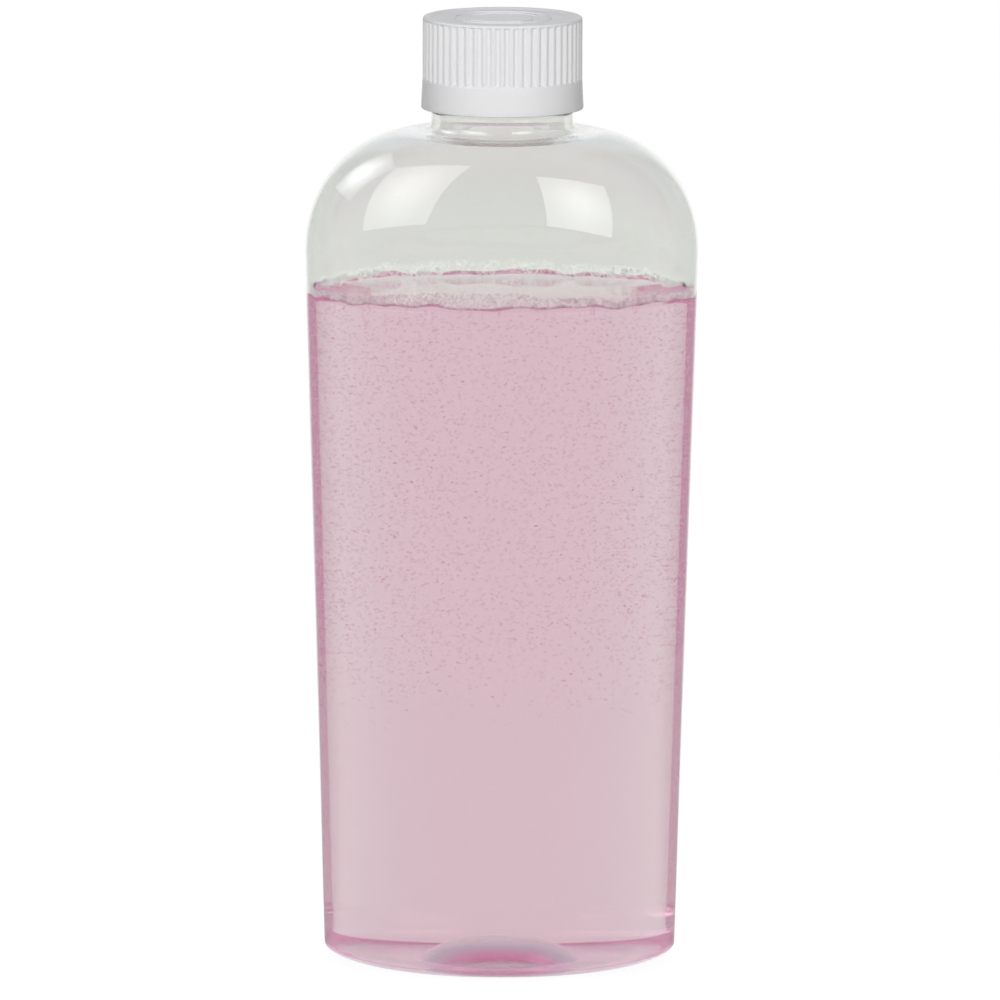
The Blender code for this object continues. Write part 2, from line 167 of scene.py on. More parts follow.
def pole_fans(rows: int, columns: int) -> Array:
    """Three-sided faces from the end rings of a stack to two poles, which follow the rings' points.

    Args:
        rows: Rings in the stack.
        columns: Points in a ring.

    Returns:
        Corner numbers, a row for each face, those round the first pole first.
    """
    column = np.arange(columns)
    after = (column + 1) % columns
    top = (rows - 1) * columns
    pole = np.full(columns, rows * columns)
    foot_fan = np.stack([pole, after, column], axis=-1)
    head_fan = np.stack([pole + 1, top + column, top + after], axis=-1)
    return np.concatenate([foot_fan, head_fan])


def mesh_from_faces(name: str, points: Array, faces: list[Array],
                    sharp_angle: float | None = None) -> bpy.types.Object:
    """Object of a mesh with its place in its points.

    Args:
        name: Name of the object and of its mesh.
        points: Corners, with a last axis of three.
        faces: Arrays of corner numbers, each with as many on its last axis as its faces have sides.
        sharp_angle: Angle past which an edge is sharp, or None to smooth them all.

    Returns:
        The object, linked into the scene.
    """
    mesh = bpy.data.meshes.new(name)
    corners = np.concatenate([part.ravel() for part in faces]).astype(np.int32)
    sides = [np.full(part.size // part.shape[-1], part.shape[-1]) for part in faces]
    totals = np.concatenate(sides).astype(np.int32)
    starts = (np.cumsum(totals) - totals).astype(np.int32)
    mesh.vertices.add(points.size // 3)
    mesh.vertices.foreach_set("co", points.astype(np.float32).ravel())
    mesh.loops.add(len(corners))
    mesh.loops.foreach_set("vertex_index", corners)
    mesh.polygons.add(len(totals))
    mesh.polygons.foreach_set("loop_start", starts)
    mesh.polygons.foreach_set("loop_total", totals)
    mesh.update(calc_edges=True)
    mesh.shade_smooth()
    if sharp_angle is not None:
        mesh.set_sharp_from_angle(angle=sharp_angle)
    thing = bpy.data.objects.new(name, mesh)
    bpy.context.scene.collection.objects.link(thing)
    return thing


def skin(name: str, rings: Array, first: float, last: float,
         sharp_angle: float | None = None) -> bpy.types.Object:
    """Closed surface over a stack of rings, with a fan to a pole on the axis at each end.

    The rings turn from +X towards +Y, and the stack starts at the pole that faces down and out.

    Args:
        name: Name of the piece.
        rings: Points of shape (rows, columns, 3).
        first: Height of the pole before the first ring.
        last: Height of the pole after the last ring.
        sharp_angle: Angle past which an edge is sharp, or None to smooth them all.

    Returns:
        The finished object.
    """
    rows, columns = rings.shape[:2]
    points = np.concatenate([rings.reshape(-1, 3), [first * UPRIGHT], [last * UPRIGHT]])
    return mesh_from_faces(name, points, [ring_quads(rows, columns), pole_fans(rows, columns)], sharp_angle)


def ball(rows: int, columns: int) -> tuple[Array, Array]:
    """Unit sphere of a few triangles, from level rings between two poles.

    Args:
        rows: Rings between the poles. Every other one is turned by half a face.
        columns: Points in a ring.

    Returns:
        Its points and its triangles, with faces pointing outwards.
    """
    rise = -QUARTER_TURN + math.pi * np.arange(1, rows + 1)[:, None] / (rows + 1)
    turn = ring_angles(columns) + (np.arange(rows) % 2)[:, None] * math.pi / columns
    rings = oval(np.cos(rise), np.cos(rise), np.sin(rise), turn)
    points = np.concatenate([rings.reshape(-1, 3), [-UPRIGHT], [UPRIGHT]])
    quads = ring_quads(rows, columns)
    return points, np.concatenate([quads[:, [0, 1, 3]], quads[:, 1:], pole_fans(rows, columns)])


def scatter(name: str, shape: tuple[Array, Array], places: Array) -> bpy.types.Object:
    """One object of many copies of a small shape.

    Args:
        name: Name of the piece.
        shape: Points and triangles of the unit shape.
        places: Matrices of shape (copies, 3, 4), each turning and scaling the unit shape and placing it.

    Returns:
        The finished object.
    """
    points, triangles = shape
    moved = np.einsum("kij,nj->kni", places[:, :, :3], points) + places[:, None, :, 3]
    offset = np.arange(len(places))[:, None, None] * len(points)
    return mesh_from_faces(name, moved, [triangles + offset])


class Graph:
    """Small helper that adds and joins the nodes of one tree."""

    def __init__(self, tree: bpy.types.NodeTree) -> None:
        """Keep the tree."""
        self.tree = tree

    def fill(self, target: Socket, value: object) -> None:
        """Link an output to an input or set the input's value, adding an alpha of 1 to a colour.

        Args:
            target: The input.
            value: Output socket, number or triple.
        """
        if isinstance(value, Socket):
            self.tree.links.new(value, target)
        elif target.type == "RGBA":
            target.default_value = (*value, 1.0)
        else:
            target.default_value = value

    def add(self, kind: str, inputs: dict[str | int, object] | None = None, **settings: object) -> Node:
        """Add a node.

        Args:
            kind: Blender's name of the node type, less the words that all of them start with.
            inputs: Output socket or value for inputs, by their names or numbers.
            settings: Attributes to set on the node before its inputs are filled.

        Returns:
            The node.
        """
        node = self.tree.nodes.new("ShaderNode" + kind)
        for name, value in settings.items():
            setattr(node, name, value)
        for place, value in (inputs or {}).items():
            self.fill(node.inputs[place], value)
        return node

    def math(self, operation: str, *values: object) -> Socket:
        """Result of one of Blender's math operations on sockets and numbers."""
        return self.add("Math", dict(enumerate(values)), operation=operation).outputs[0]

    def blend(self, share: Socket, first: object, second: object) -> Socket:
        """Colour at a share of the way from the first colour to the second."""
        return self.add("Mix", {"Factor": share, "A": first, "B": second}, data_type="RGBA").outputs["Result"]

    def noise(self, place: Socket, scale: Socket, detail: float) -> Socket:
        """Noise from 0 to 1."""
        return self.add("TexNoise", {"Vector": place, "Scale": scale, "Detail": detail}).outputs[0]

    def own_place(self) -> Socket:
        """Place on the object, in its own axes."""
        return self.add("TexCoord").outputs["Object"]

    def split(self, vector: Socket) -> tuple[Socket, ...]:
        """X, Y and Z of a vector."""
        return tuple(self.add("SeparateXYZ", {0: vector}).outputs)

    def remap(self, value: Socket, low: float, high: float, first: object, last: object,
              ramp: Ramp = Ramp.STRAIGHT) -> Socket:
        """Value mapped from one range to another and kept inside it.

        Args:
            value: What is mapped.
            low: Value of it that gives the first result.
            high: Value that gives the last result.
            first: Result up to low.
            last: Result from high on.
            ramp: Way from the first result to the last.

        Returns:
            The result.
        """
        ends = {"Value": value, "From Min": low, "From Max": high, "To Min": first, "To Max": last}
        return self.add("MapRange", ends, interpolation_type=ramp.value).outputs["Result"]

    def effect(self, group: bpy.types.NodeTree, **values: object) -> Node:
        """Put in a node group, with values for inputs that are named with underscores for spaces."""
        inputs = {name.replace("_", " "): value for name, value in values.items()}
        return self.add("Group", inputs, node_tree=group)


class MaterialGraph(Graph):
    """Graph of a new material, round its Principled BSDF.

    A finish also keeps the shared groups, its drifting tone and the height of its grain here.
    """

    groups: "EffectGroups"
    tone: Socket
    height: Socket

    def __init__(self, name: str, **values: object) -> None:
        """Start the material.

        Args:
            name: Name of the material.
            values: Sockets or values for the shader's inputs, with underscores for spaces.
        """
        self.material = bpy.data.materials.new(name)
        self.material.use_nodes = True
        super().__init__(self.material.node_tree)
        self.shader = self.tree.nodes["Principled BSDF"]
        self.output = next(node for node in self.tree.nodes if node.type == "OUTPUT_MATERIAL")
        self.feed(**values)

    def feed(self, **values: object) -> None:
        """Fill inputs of the shader, which are named with underscores for spaces."""
        for name, value in values.items():
            self.fill(self.shader.inputs[name.replace("_", " ")], value)

    def bump(self, height: Socket, distance: float) -> None:
        """Let a height from 0 to 1, which stands for a distance, tilt the shader's normal."""
        self.feed(Normal=self.add("Bump", {"Distance": distance, "Height": height}).outputs["Normal"])

    def show_instead(self, share: Socket, other: Socket) -> None:
        """Let another shader show by a share, in place of the Principled BSDF."""
        mix = self.add("MixShader", {"Fac": share, 1: self.shader.outputs[0], 2: other})
        self.fill(self.output.inputs["Surface"], mix.outputs[0])


def new_group(name: str, inputs: dict[str, tuple[str, object]],
              outputs: dict[str, str]) -> tuple[Graph, dict, dict]:
    """Start a shader node group.

    Args:
        name: Name of the group.
        inputs: Socket type and default of each input, by name.
        outputs: Socket type of each output, by name.

    Returns:
        The group's graph, the sockets to read its inputs from and those to write its outputs to.
    """
    tree = bpy.data.node_groups.new(name, "ShaderNodeTree")
    for label, (kind, default) in inputs.items():
        socket = tree.interface.new_socket(name=label, in_out="INPUT", socket_type=kind)
        socket.default_value = default
    for label, kind in outputs.items():
        tree.interface.new_socket(name=label, in_out="OUTPUT", socket_type=kind)
    source = tree.nodes.new("NodeGroupInput")
    target = tree.nodes.new("NodeGroupOutput")
    return Graph(tree), source.outputs, target.inputs


class EffectGroups:
    """The node groups that the finishes share, each built once."""

    grain_detail: float = 3.0
    patch_detail: float = 4.0
    patch_least: float = 0.3
    patch_most: float = 0.7
    drift_detail: float = 5.0
    wave_detail: float = 1.0

    def __init__(self) -> None:
        """Build the groups."""
        self.grain = self.surface_grain()
        self.drift = self.tone_drift()
        self.waves = self.moulding_waves()

    def surface_grain(self) -> bpy.types.NodeTree:
        """Fine moulded grain: a height for bumps and a roughness that wanders with broader patches.

        Returns:
            The group.
        """
        inputs = {"Grain Scale": (NUMBER, 2500.0), "Patch Scale": (NUMBER, 120.0),
                  "Smoothest": (NUMBER, 0.3), "Roughest": (NUMBER, 0.45)}
        graph, given, result = new_group("surface_grain", inputs, {"Height": NUMBER, "Roughness": NUMBER})
        place = graph.own_place()
        patches = graph.noise(place, given["Patch Scale"], self.patch_detail)
        ends = given["Smoothest"], given["Roughest"]
        graph.fill(result["Height"], graph.noise(place, given["Grain Scale"], self.grain_detail))
        graph.fill(result["Roughness"], graph.remap(patches, self.patch_least, self.patch_most, *ends))
        return graph.tree

    def tone_drift(self) -> bpy.types.NodeTree:
        """Colour that drifts between two tones in soft patches.

        Returns:
            The group.
        """
        inputs = {"Tone": (COLOUR, (0.8, 0.8, 0.8, 1.0)), "Other Tone": (COLOUR, (0.75, 0.75, 0.75, 1.0)),
                  "Scale": (NUMBER, 60.0)}
        graph, given, result = new_group("tone_drift", inputs, {"Color": COLOUR})
        patches = graph.noise(graph.own_place(), given["Scale"], self.drift_detail)
        graph.fill(result["Color"], graph.blend(patches, given["Tone"], given["Other Tone"]))
        return graph.tree

    def moulding_waves(self) -> bpy.types.NodeTree:
        """Slow waves that blowing leaves in a wall, longer up the bottle than across it.

        Returns:
            The group.
        """
        inputs = {"Scale": (NUMBER, 60.0), "Upright Stretch": (NUMBER, 3.0)}
        graph, given, result = new_group("moulding_waves", inputs, {"Height": NUMBER})
        across, along, rise = graph.split(graph.own_place())
        pressed = graph.math("DIVIDE", rise, given["Upright Stretch"])
        place = graph.add("CombineXYZ", {"X": across, "Y": along, "Z": pressed}).outputs[0]
        graph.fill(result["Height"], graph.noise(place, given["Scale"], self.wave_detail))
        return graph.tree


@dataclass(frozen=True, kw_only=True)
class Finish:
    """What the solid finishes share: a tone that drifts between two, and a roughness that wanders."""

    name: str
    tone: Triple
    other_tone: Triple
    tone_scale: float
    smoothest: float
    roughest: float
    patch_scale: float
    grain_scale: float = 2500.0
    ior: float

    def material(self, groups: EffectGroups) -> bpy.types.Material:
        """Build the material.

        Args:
            groups: The shared node groups.

        Returns:
            The material.
        """
        graph = MaterialGraph(self.name, IOR=self.ior)
        drift = graph.effect(groups.drift, Tone=self.tone, Other_Tone=self.other_tone, Scale=self.tone_scale)
        grain = graph.effect(groups.grain, Grain_Scale=self.grain_scale, Patch_Scale=self.patch_scale,
                             Smoothest=self.smoothest, Roughest=self.roughest)
        graph.groups = groups
        graph.tone = drift.outputs["Color"]
        graph.height = grain.outputs["Height"]
        graph.feed(Base_Color=graph.tone, Roughness=grain.outputs["Roughness"])
        self.complete(graph)
        return graph.material

    def complete(self, graph: MaterialGraph) -> None:
        """Add what only one kind of finish has, which is nothing here."""


@dataclass(frozen=True, kw_only=True)
class ClearWall(Finish):
    """Clear glossy blown polyester, faintly green where it is thick.

    Light that the wall has guided for many bounces ends in its usual tone in place of black.
    """

    name: str = "clear_polyester"
    tone: Triple = (0.815, 0.827, 0.8)
    other_tone: Triple = (0.833, 0.845, 0.818)
    tone_scale: float = 25.0
    smoothest: float = 0.0
    roughest: float = 0.03
    patch_scale: float = 40.0
    ior: float = 1.52
    wave_scale: float = 45.0
    wave_height: float = 0.02 * MM
    longest_path: float = 18.0
    longest_beside_liquid: float = 10.0
    base_top: float = 14.0 * MM
    liquid_top: float = 145.0 * MM
    guided_base: Triple = (0.95, 0.6, 0.8)
    guided_pink: Triple = (0.97, 0.62, 0.8)
    guided_magenta: Triple = (0.74, 0.4, 0.64)
    guided_high: Triple = (0.85, 0.87, 0.88)
    guided_patches: float = 260.0

    def complete(self, graph: MaterialGraph) -> None:
        """Add the moulding's waves and the end of the guided light.

        That light's tone is pink in the base, a patchy magenta beside the liquid, where the light ends
        sooner, and that of clear plastic above it.

        Args:
            graph: Graph of the material.
        """
        graph.feed(Transmission_Weight=1.0)
        waves = graph.effect(graph.groups.waves, Scale=self.wave_scale)
        graph.bump(waves.outputs["Height"], self.wave_height)
        rise = graph.split(graph.own_place())[2]
        over_base = graph.math("GREATER_THAN", rise, self.base_top)
        over_liquid = graph.math("GREATER_THAN", rise, self.liquid_top)
        patches = graph.effect(graph.groups.drift, Tone=self.guided_pink, Other_Tone=self.guided_magenta,
                               Scale=self.guided_patches)
        low = graph.blend(over_base, self.guided_base, patches.outputs["Color"])
        glow = graph.add("Emission", {"Color": graph.blend(over_liquid, low, self.guided_high)})
        beside_liquid = graph.math("SUBTRACT", over_base, over_liquid)
        sooner = graph.math("MULTIPLY", beside_liquid, self.longest_path - self.longest_beside_liquid)
        longest = graph.math("SUBTRACT", self.longest_path, sooner)
        bounces = graph.add("LightPath").outputs["Ray Depth"]
        graph.show_instead(graph.math("GREATER_THAN", bounces, longest), glow.outputs[0])


@dataclass(frozen=True)
class PinkLiquid:
    """Thin clear liquid that takes green and some blue out of the light on its way through."""

    ior: float = 1.33
    absorbed: Triple = (1.0, 0.0, 0.53)
    density: float = 6.9
    wave_scale: float = 90.0
    wave_height: float = 0.01 * MM

    def material(self, groups: EffectGroups) -> bpy.types.Material:
        """Build the material.

        Args:
            groups: The shared node groups.

        Returns:
            The material.
        """
        graph = MaterialGraph("pink_liquid", Base_Color=WHITE, Roughness=0.0, Transmission_Weight=1.0,
                              IOR=self.ior)
        waves = graph.effect(groups.waves, Scale=self.wave_scale, Upright_Stretch=1.0)
        graph.bump(waves.outputs["Height"], self.wave_height)
        absorption = graph.add("VolumeAbsorption", {"Color": self.absorbed, "Density": self.density})
        graph.fill(graph.output.inputs["Volume"], absorption.outputs["Volume"])
        return graph.material


@dataclass(frozen=True, kw_only=True)
class FoamFilm(Finish):
    """Thin wet film of a foam bubble: seen through in the middle and whitish where it is seen edge on.

    Foam lights itself from bubble to bubble, and a share of that light is given as a faint glow.
    """

    tone_scale: float = 900.0
    smoothest: float = 0.1
    roughest: float = 0.3
    patch_scale: float = 600.0
    ior: float = 1.33
    glow: float
    middle_cover: float
    edge_cover: float
    slant_blend: float = 0.4

    def complete(self, graph: MaterialGraph) -> None:
        """Add the glow, and the cover that grows with the slant.

        Args:
            graph: Graph of the material.
        """
        slant = graph.add("LayerWeight", {"Blend": self.slant_blend}).outputs["Facing"]
        cover = graph.remap(slant, 0.0, 1.0, self.middle_cover, self.edge_cover)
        graph.feed(Emission_Color=graph.tone, Emission_Strength=self.glow, Alpha=cover)


@dataclass(frozen=True, kw_only=True)
class TintedClear(Finish):
    """Clear stuff that tints the light without bending it much, such as fine bubbles and wet edges."""

    tone_scale: float = 900.0
    smoothest: float = 0.0
    roughest: float = 0.1
    patch_scale: float = 600.0
    ior: float = 1.0

    def complete(self, graph: MaterialGraph) -> None:
        """Let the light through."""
        graph.feed(Transmission_Weight=1.0)


@dataclass(frozen=True, kw_only=True)
class SatinPlastic(Finish):
    """Satin moulded plastic, white, with fine grain and a slight drift of tone.

    Soaked light is what reaches the inside of a closed cap through its white walls. It shows only where
    the plastic is seen through the clear neck.
    """

    tone_scale: float = 70.0
    smoothest: float = 0.3
    roughest: float = 0.42
    patch_scale: float = 120.0
    grain_scale: float = 3000.0
    ior: float = 1.49
    grain_height: float = 0.006 * MM
    gloss: float = 0.5
    soaked_light: float = 0.0

    def complete(self, graph: MaterialGraph) -> None:
        """Add the grain's bumps and the soaked light.

        Args:
            graph: Graph of the material.
        """
        graph.feed(Specular_IOR_Level=self.gloss)
        graph.bump(graph.height, self.grain_height)
        if self.soaked_light > 0.0:
            through_glass = graph.add("LightPath").outputs["Is Transmission Ray"]
            strength = graph.math("MULTIPLY", through_glass, self.soaked_light)
            graph.feed(Emission_Color=graph.tone, Emission_Strength=strength)


@dataclass
class BottleForm:
    """Sizes of the blown bottle, and the surfaces worked out from them.

    The body's sections are superellipses between an upper one, at the foot of the shoulder, and a lower
    one, at the top of the heel. Rings are points of shape (rows, columns, 3).
    """

    body_width: float
    body_depth: float
    lip_height: float
    foot_width: float = 74.8 * MM
    foot_depth: float = 51.7 * MM
    shoulder_foot: float = 153.0 * MM
    neck_foot: float = 179.2 * MM
    heel_height: float = 4.2 * MM
    heel_inset_ends: float = 15.5 * MM
    heel_inset_faces: float = 6.0 * MM
    foot_ring: float = 2.2 * MM
    push_up: float = 4.5 * MM
    push_up_share: float = 0.75
    wall: float = 0.6 * MM
    base_wall: float = 1.5 * MM
    base_wall_top: float = 4.6 * MM
    neck_wall: float = 1.85 * MM
    tube_radius: float = 12.65 * MM
    tube_foot: float = 185.5 * MM
    collar_radius: float = 15.1 * MM
    collar_top: float = 185.0 * MM
    fillet: float = 1.5 * MM
    section_power: float = 2.17
    ends_power: float = 2.11
    faces_power: float = 1.9
    push_up_power: float = 3.2
    thick_share: float = 0.12
    base_rows: int = 16
    heel_rows: int = 18
    side_rows: int = 49
    shoulder_rows: int = 72
    fillet_rows: int = 8

    @classmethod
    def from_frame(cls) -> "BottleForm":
        """Take the outer sizes from the frame's bottle node."""
        low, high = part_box("bottle")
        return cls(high.x - low.x, high.y - low.y, high.z)

    def base_rings(self, angle: Array) -> Array:
        """Pushed-up base out to the foot ring.

        Half sizes grow evenly from near 0 to the inside of the foot ring. The height is the rise times 1
        less a power of the share of the way out to the rise's own edge, and 0 past that edge.

        Args:
            angle: Angles of a ring.

        Returns:
            The rings.
        """
        out = np.linspace(1.0 / self.base_rows, 1.0, self.base_rows)[:, None]
        half_width = self.foot_width / 2 - self.heel_inset_ends - self.foot_ring
        half_depth = self.foot_depth / 2 - self.heel_inset_faces - self.foot_ring
        height = self.push_up * np.maximum(1.0 - (out / self.push_up_share)**self.push_up_power, 0.0)
        return oval(half_width * out, half_depth * out, height, angle, self.section_power)

    def heel_rings(self, angle: Array) -> Array:
        """Rounded heel from the foot ring up to the side wall: a quarter of an ellipse.

        Args:
            angle: Angles of a ring.

        Returns:
            The rings.
        """
        turn = np.linspace(QUARTER_TURN, 0.0, self.heel_rows)[:, None]
        drawn_in = 1.0 - np.cos(turn)
        half_width = self.foot_width / 2 - self.heel_inset_ends * drawn_in
        half_depth = self.foot_depth / 2 - self.heel_inset_faces * drawn_in
        height = self.heel_height * (1.0 - np.sin(turn))
        return oval(half_width, half_depth, height, angle, self.section_power)

    def half_sizes(self, height: Array) -> tuple[Array, Array]:
        """Half width and half depth of the side wall, in a straight line between its two ends.

        Args:
            height: Heights on the side wall.

        Returns:
            The half widths and the half depths.
        """
        share = (height - self.heel_height) / (self.shoulder_foot - self.heel_height)
        half_width = (self.foot_width + (self.body_width - self.foot_width) * share) / 2
        half_depth = (self.foot_depth + (self.body_depth - self.foot_depth) * share) / 2
        return half_width, half_depth

    def low_rings(self, angle: Array, top: float, rows: int) -> tuple[Array, Array]:
        """Outside of the base, the heel and the side wall, and the wall, which is thinner up the heel.

        Args:
            angle: Angles of a ring.
            top: Height of the last ring.
            rows: How many rings of the side wall.

        Returns:
            The rings, and the wall at each of them.
        """
        heights = np.linspace(self.heel_height, top, rows + 1)[1:, None]
        half_width, half_depth = self.half_sizes(heights)
        side = oval(half_width, half_depth, heights, angle, self.section_power)
        rings = np.concatenate([self.base_rings(angle), self.heel_rings(angle), side])
        thinned = smooth_step(0.0, self.base_wall_top, rings[:, :, 2].max(axis=1))
        thinned[:self.base_rows] = 0.0
        return rings, self.base_wall + (self.wall - self.base_wall) * thinned

    def shoulder_rings(self, angle: Array) -> tuple[Array, Array]:
        """Rounded shoulder from the side wall up to the neck.

        The half sizes fall with the cosine of an angle and the height rises with its sine, each raised
        to 2 over its own power. The section turns from the body's oval to the neck's round.

        Args:
            angle: Angles of a ring.

        Returns:
            The rings, and the wall at each of them.
        """
        turn = np.linspace(0.0, QUARTER_TURN, self.shoulder_rows + 1)[1:, None]
        ends = np.cos(turn) ** (2 / self.ends_power)
        faces = np.cos(turn) ** (2 / self.faces_power)
        rise = np.sin(turn) ** (2 / self.ends_power)
        neck = self.collar_radius + self.fillet
        half_width = neck + (self.body_width / 2 - neck) * ends
        half_depth = neck + (self.body_depth / 2 - neck) * faces
        height = self.shoulder_foot + (self.neck_foot - self.shoulder_foot) * rise
        power = 2.0 + (self.section_power - 2.0) * ends
        thinned = smooth_step(0.0, self.thick_share, 1.0 - turn / QUARTER_TURN)
        wall = self.neck_wall + (self.wall - self.neck_wall) * thinned
        return oval(half_width, half_depth, height, angle, power), wall[:, 0]

    def fillet_rings(self, angle: Array) -> Array:
        """Fillet between the shoulder and the plain collar: a quarter circle, hollow side out.

        Args:
            angle: Angles of a ring.

        Returns:
            The rings.
        """
        turn = np.linspace(QUARTER_TURN, 0.0, self.fillet_rows + 1)[1:, None]
        radius = self.collar_radius + self.fillet * (1.0 - np.cos(turn))
        height = self.neck_foot + self.fillet * (1.0 - np.sin(turn))
        return oval(radius, radius, height, angle)

    def body_rings(self, angle: Array) -> tuple[Array, Array]:
        """Outside of the bottle from the middle of the base up to the fillet, and the wall at each ring."""
        low, low_wall = self.low_rings(angle, self.shoulder_foot, self.side_rows)
        shoulder, shoulder_wall = self.shoulder_rings(angle)
        rings = np.concatenate([low, shoulder, self.fillet_rings(angle)])
        return rings, np.concatenate([low_wall, shoulder_wall, np.full(self.fillet_rows, self.neck_wall)])

    def side_points(self, angle: Array, height: Array, inset: Array) -> tuple[Array, Array]:
        """Points at given depths under the side wall's outside.

        The outward normal is the gradient of the superellipse's equation, taken level.

        Args:
            angle: Angle of each point.
            height: Height of each point.
            inset: Depth of each point under the outside, or one depth for them all.

        Returns:
            The points, and the outward unit normals.
        """
        half_width, half_depth = self.half_sizes(height)
        points = oval(half_width, half_depth, height, angle, self.section_power)
        step = self.section_power - 1.0
        across = np.sign(points[..., 0]) * np.abs(points[..., 0] / half_width) ** step / half_width
        along = np.sign(points[..., 1]) * np.abs(points[..., 1] / half_depth) ** step / half_depth
        normal = np.stack([across, along, np.zeros_like(across)], axis=-1)
        normal /= np.linalg.norm(normal, axis=-1, keepdims=True)
        return points - normal * np.asarray(inset)[..., None], normal


@dataclass
class ThreadForm:
    """Right-handed thread on a round wall."""

    pitch: float = 4.2333 * MM
    depth: float = 1.15 * MM
    half_foot: float = 0.88 * MM
    half_crest: float = 0.35 * MM
    foot: float = 188.2 * MM
    top: float = 194.5 * MM
    fade_turns: float = 0.12

    def stand_out(self, angle: Array, height: Array) -> Array:
        """How far the ridge stands out.

        Each turn's middle lies on the helix: its height is the top's plus the pitch times the turns.
        Across the ridge the stand-out falls smoothly from the crest to the foot.

        Args:
            angle: Angle of each point.
            height: Height of each point.

        Returns:
            Stand-out in metres at each point.
        """
        turns = angle / FULL_TURN
        nearest = np.round((height - self.top) / self.pitch - turns)
        middle = self.top + self.pitch * (turns + nearest)
        profile = smooth_step(self.half_foot, self.half_crest, np.abs(height - middle))
        inside = np.minimum(self.top - middle, middle - self.foot) / self.pitch
        return self.depth * profile * smooth_step(0.0, self.fade_turns, inside)


@dataclass
class Bottle:
    """The blown bottle: one closed skin with its wall, its thread and its lip."""

    form: BottleForm
    thread: ThreadForm = field(default_factory=ThreadForm)
    columns: int = 192
    collar_rows: int = 4
    thread_rows: int = 58
    lip_rows: int = 4
    lip_round: float = 0.45 * MM
    collar_reach: float = 2.2 * MM
    collar_edge: float = 0.35 * MM
    slope_ease: float = 0.25 * MM
    slope_foot: float = 0.12 * MM
    slope_top: float = 0.22 * MM
    tube_start: float = 0.2 * MM
    bore_straight: float = 3.0 * MM
    bore_ease: float = 0.15 * MM
    inner_slope_top: float = 0.9 * MM
    inner_slope_foot: float = 0.75 * MM
    inner_collar_top: float = 1.2 * MM
    inner_collar_foot: float = 0.6 * MM

    def neck_rings(self, angle: Array) -> Array:
        """Outside of the collar, slope, threaded tube and lip, and down the bore to the inner collar.

        Args:
            angle: Angles of a ring.

        Returns:
            Points of shape (rows, columns, 3).
        """
        form = self.form
        downs = np.linspace(self.collar_reach, self.collar_edge, self.collar_rows)
        collar = [(form.collar_radius, form.collar_top - down) for down in downs]
        slope = [(form.collar_radius - self.slope_ease, form.collar_top + self.slope_foot),
                 (form.tube_radius + self.slope_ease, form.tube_foot - self.slope_top)]
        lip_foot = form.lip_height - self.lip_round
        heights = np.linspace(form.tube_foot + self.tube_start, lip_foot, self.thread_rows)
        tube = [(form.tube_radius, height) for height in heights]
        bore = form.tube_radius - form.neck_wall
        turns = np.linspace(0.0, QUARTER_TURN, self.lip_rows + 1)
        outer_lip = arc(form.tube_radius - self.lip_round, lip_foot, self.lip_round, turns[1:])
        inner_lip = arc(bore + self.lip_round, lip_foot, self.lip_round, turns[:-1] + QUARTER_TURN)
        inner_collar = form.collar_radius - form.neck_wall
        inside = [(bore, lip_foot), (bore, form.tube_foot + self.bore_straight), (bore, form.tube_foot),
                  (bore + self.bore_ease, form.tube_foot - self.inner_slope_top),
                  (inner_collar - self.slope_ease, form.collar_top - self.inner_slope_foot),
                  (inner_collar, form.collar_top - self.inner_collar_top),
                  (inner_collar, form.neck_foot + form.fillet + self.inner_collar_foot)]
        profile = np.array(collar + slope + tube + outer_lip + inner_lip + inside)
        radius, height = profile[:, :1], profile[:, 1:]
        first = len(collar) + len(slope)
        threaded = np.zeros((len(profile), 1))
        threaded[first:first + len(tube)] = 1.0
        radius = radius + self.thread.stand_out(angle, height) * threaded
        return oval(radius, radius, height, angle)

    def build(self) -> bpy.types.Object:
        """Join the outside, the neck and the inside, which lies a wall's thickness under the outside.

        Returns:
            The piece.
        """
        angle = ring_angles(self.columns)
        outside, wall = self.form.body_rings(angle)
        inside = outside - grid_normals(outside) * wall[:, None, None]
        rings = np.concatenate([outside, self.neck_rings(angle), inside[::-1]])
        return skin("clear_bottle", rings, self.form.push_up, self.form.push_up + wall[0])


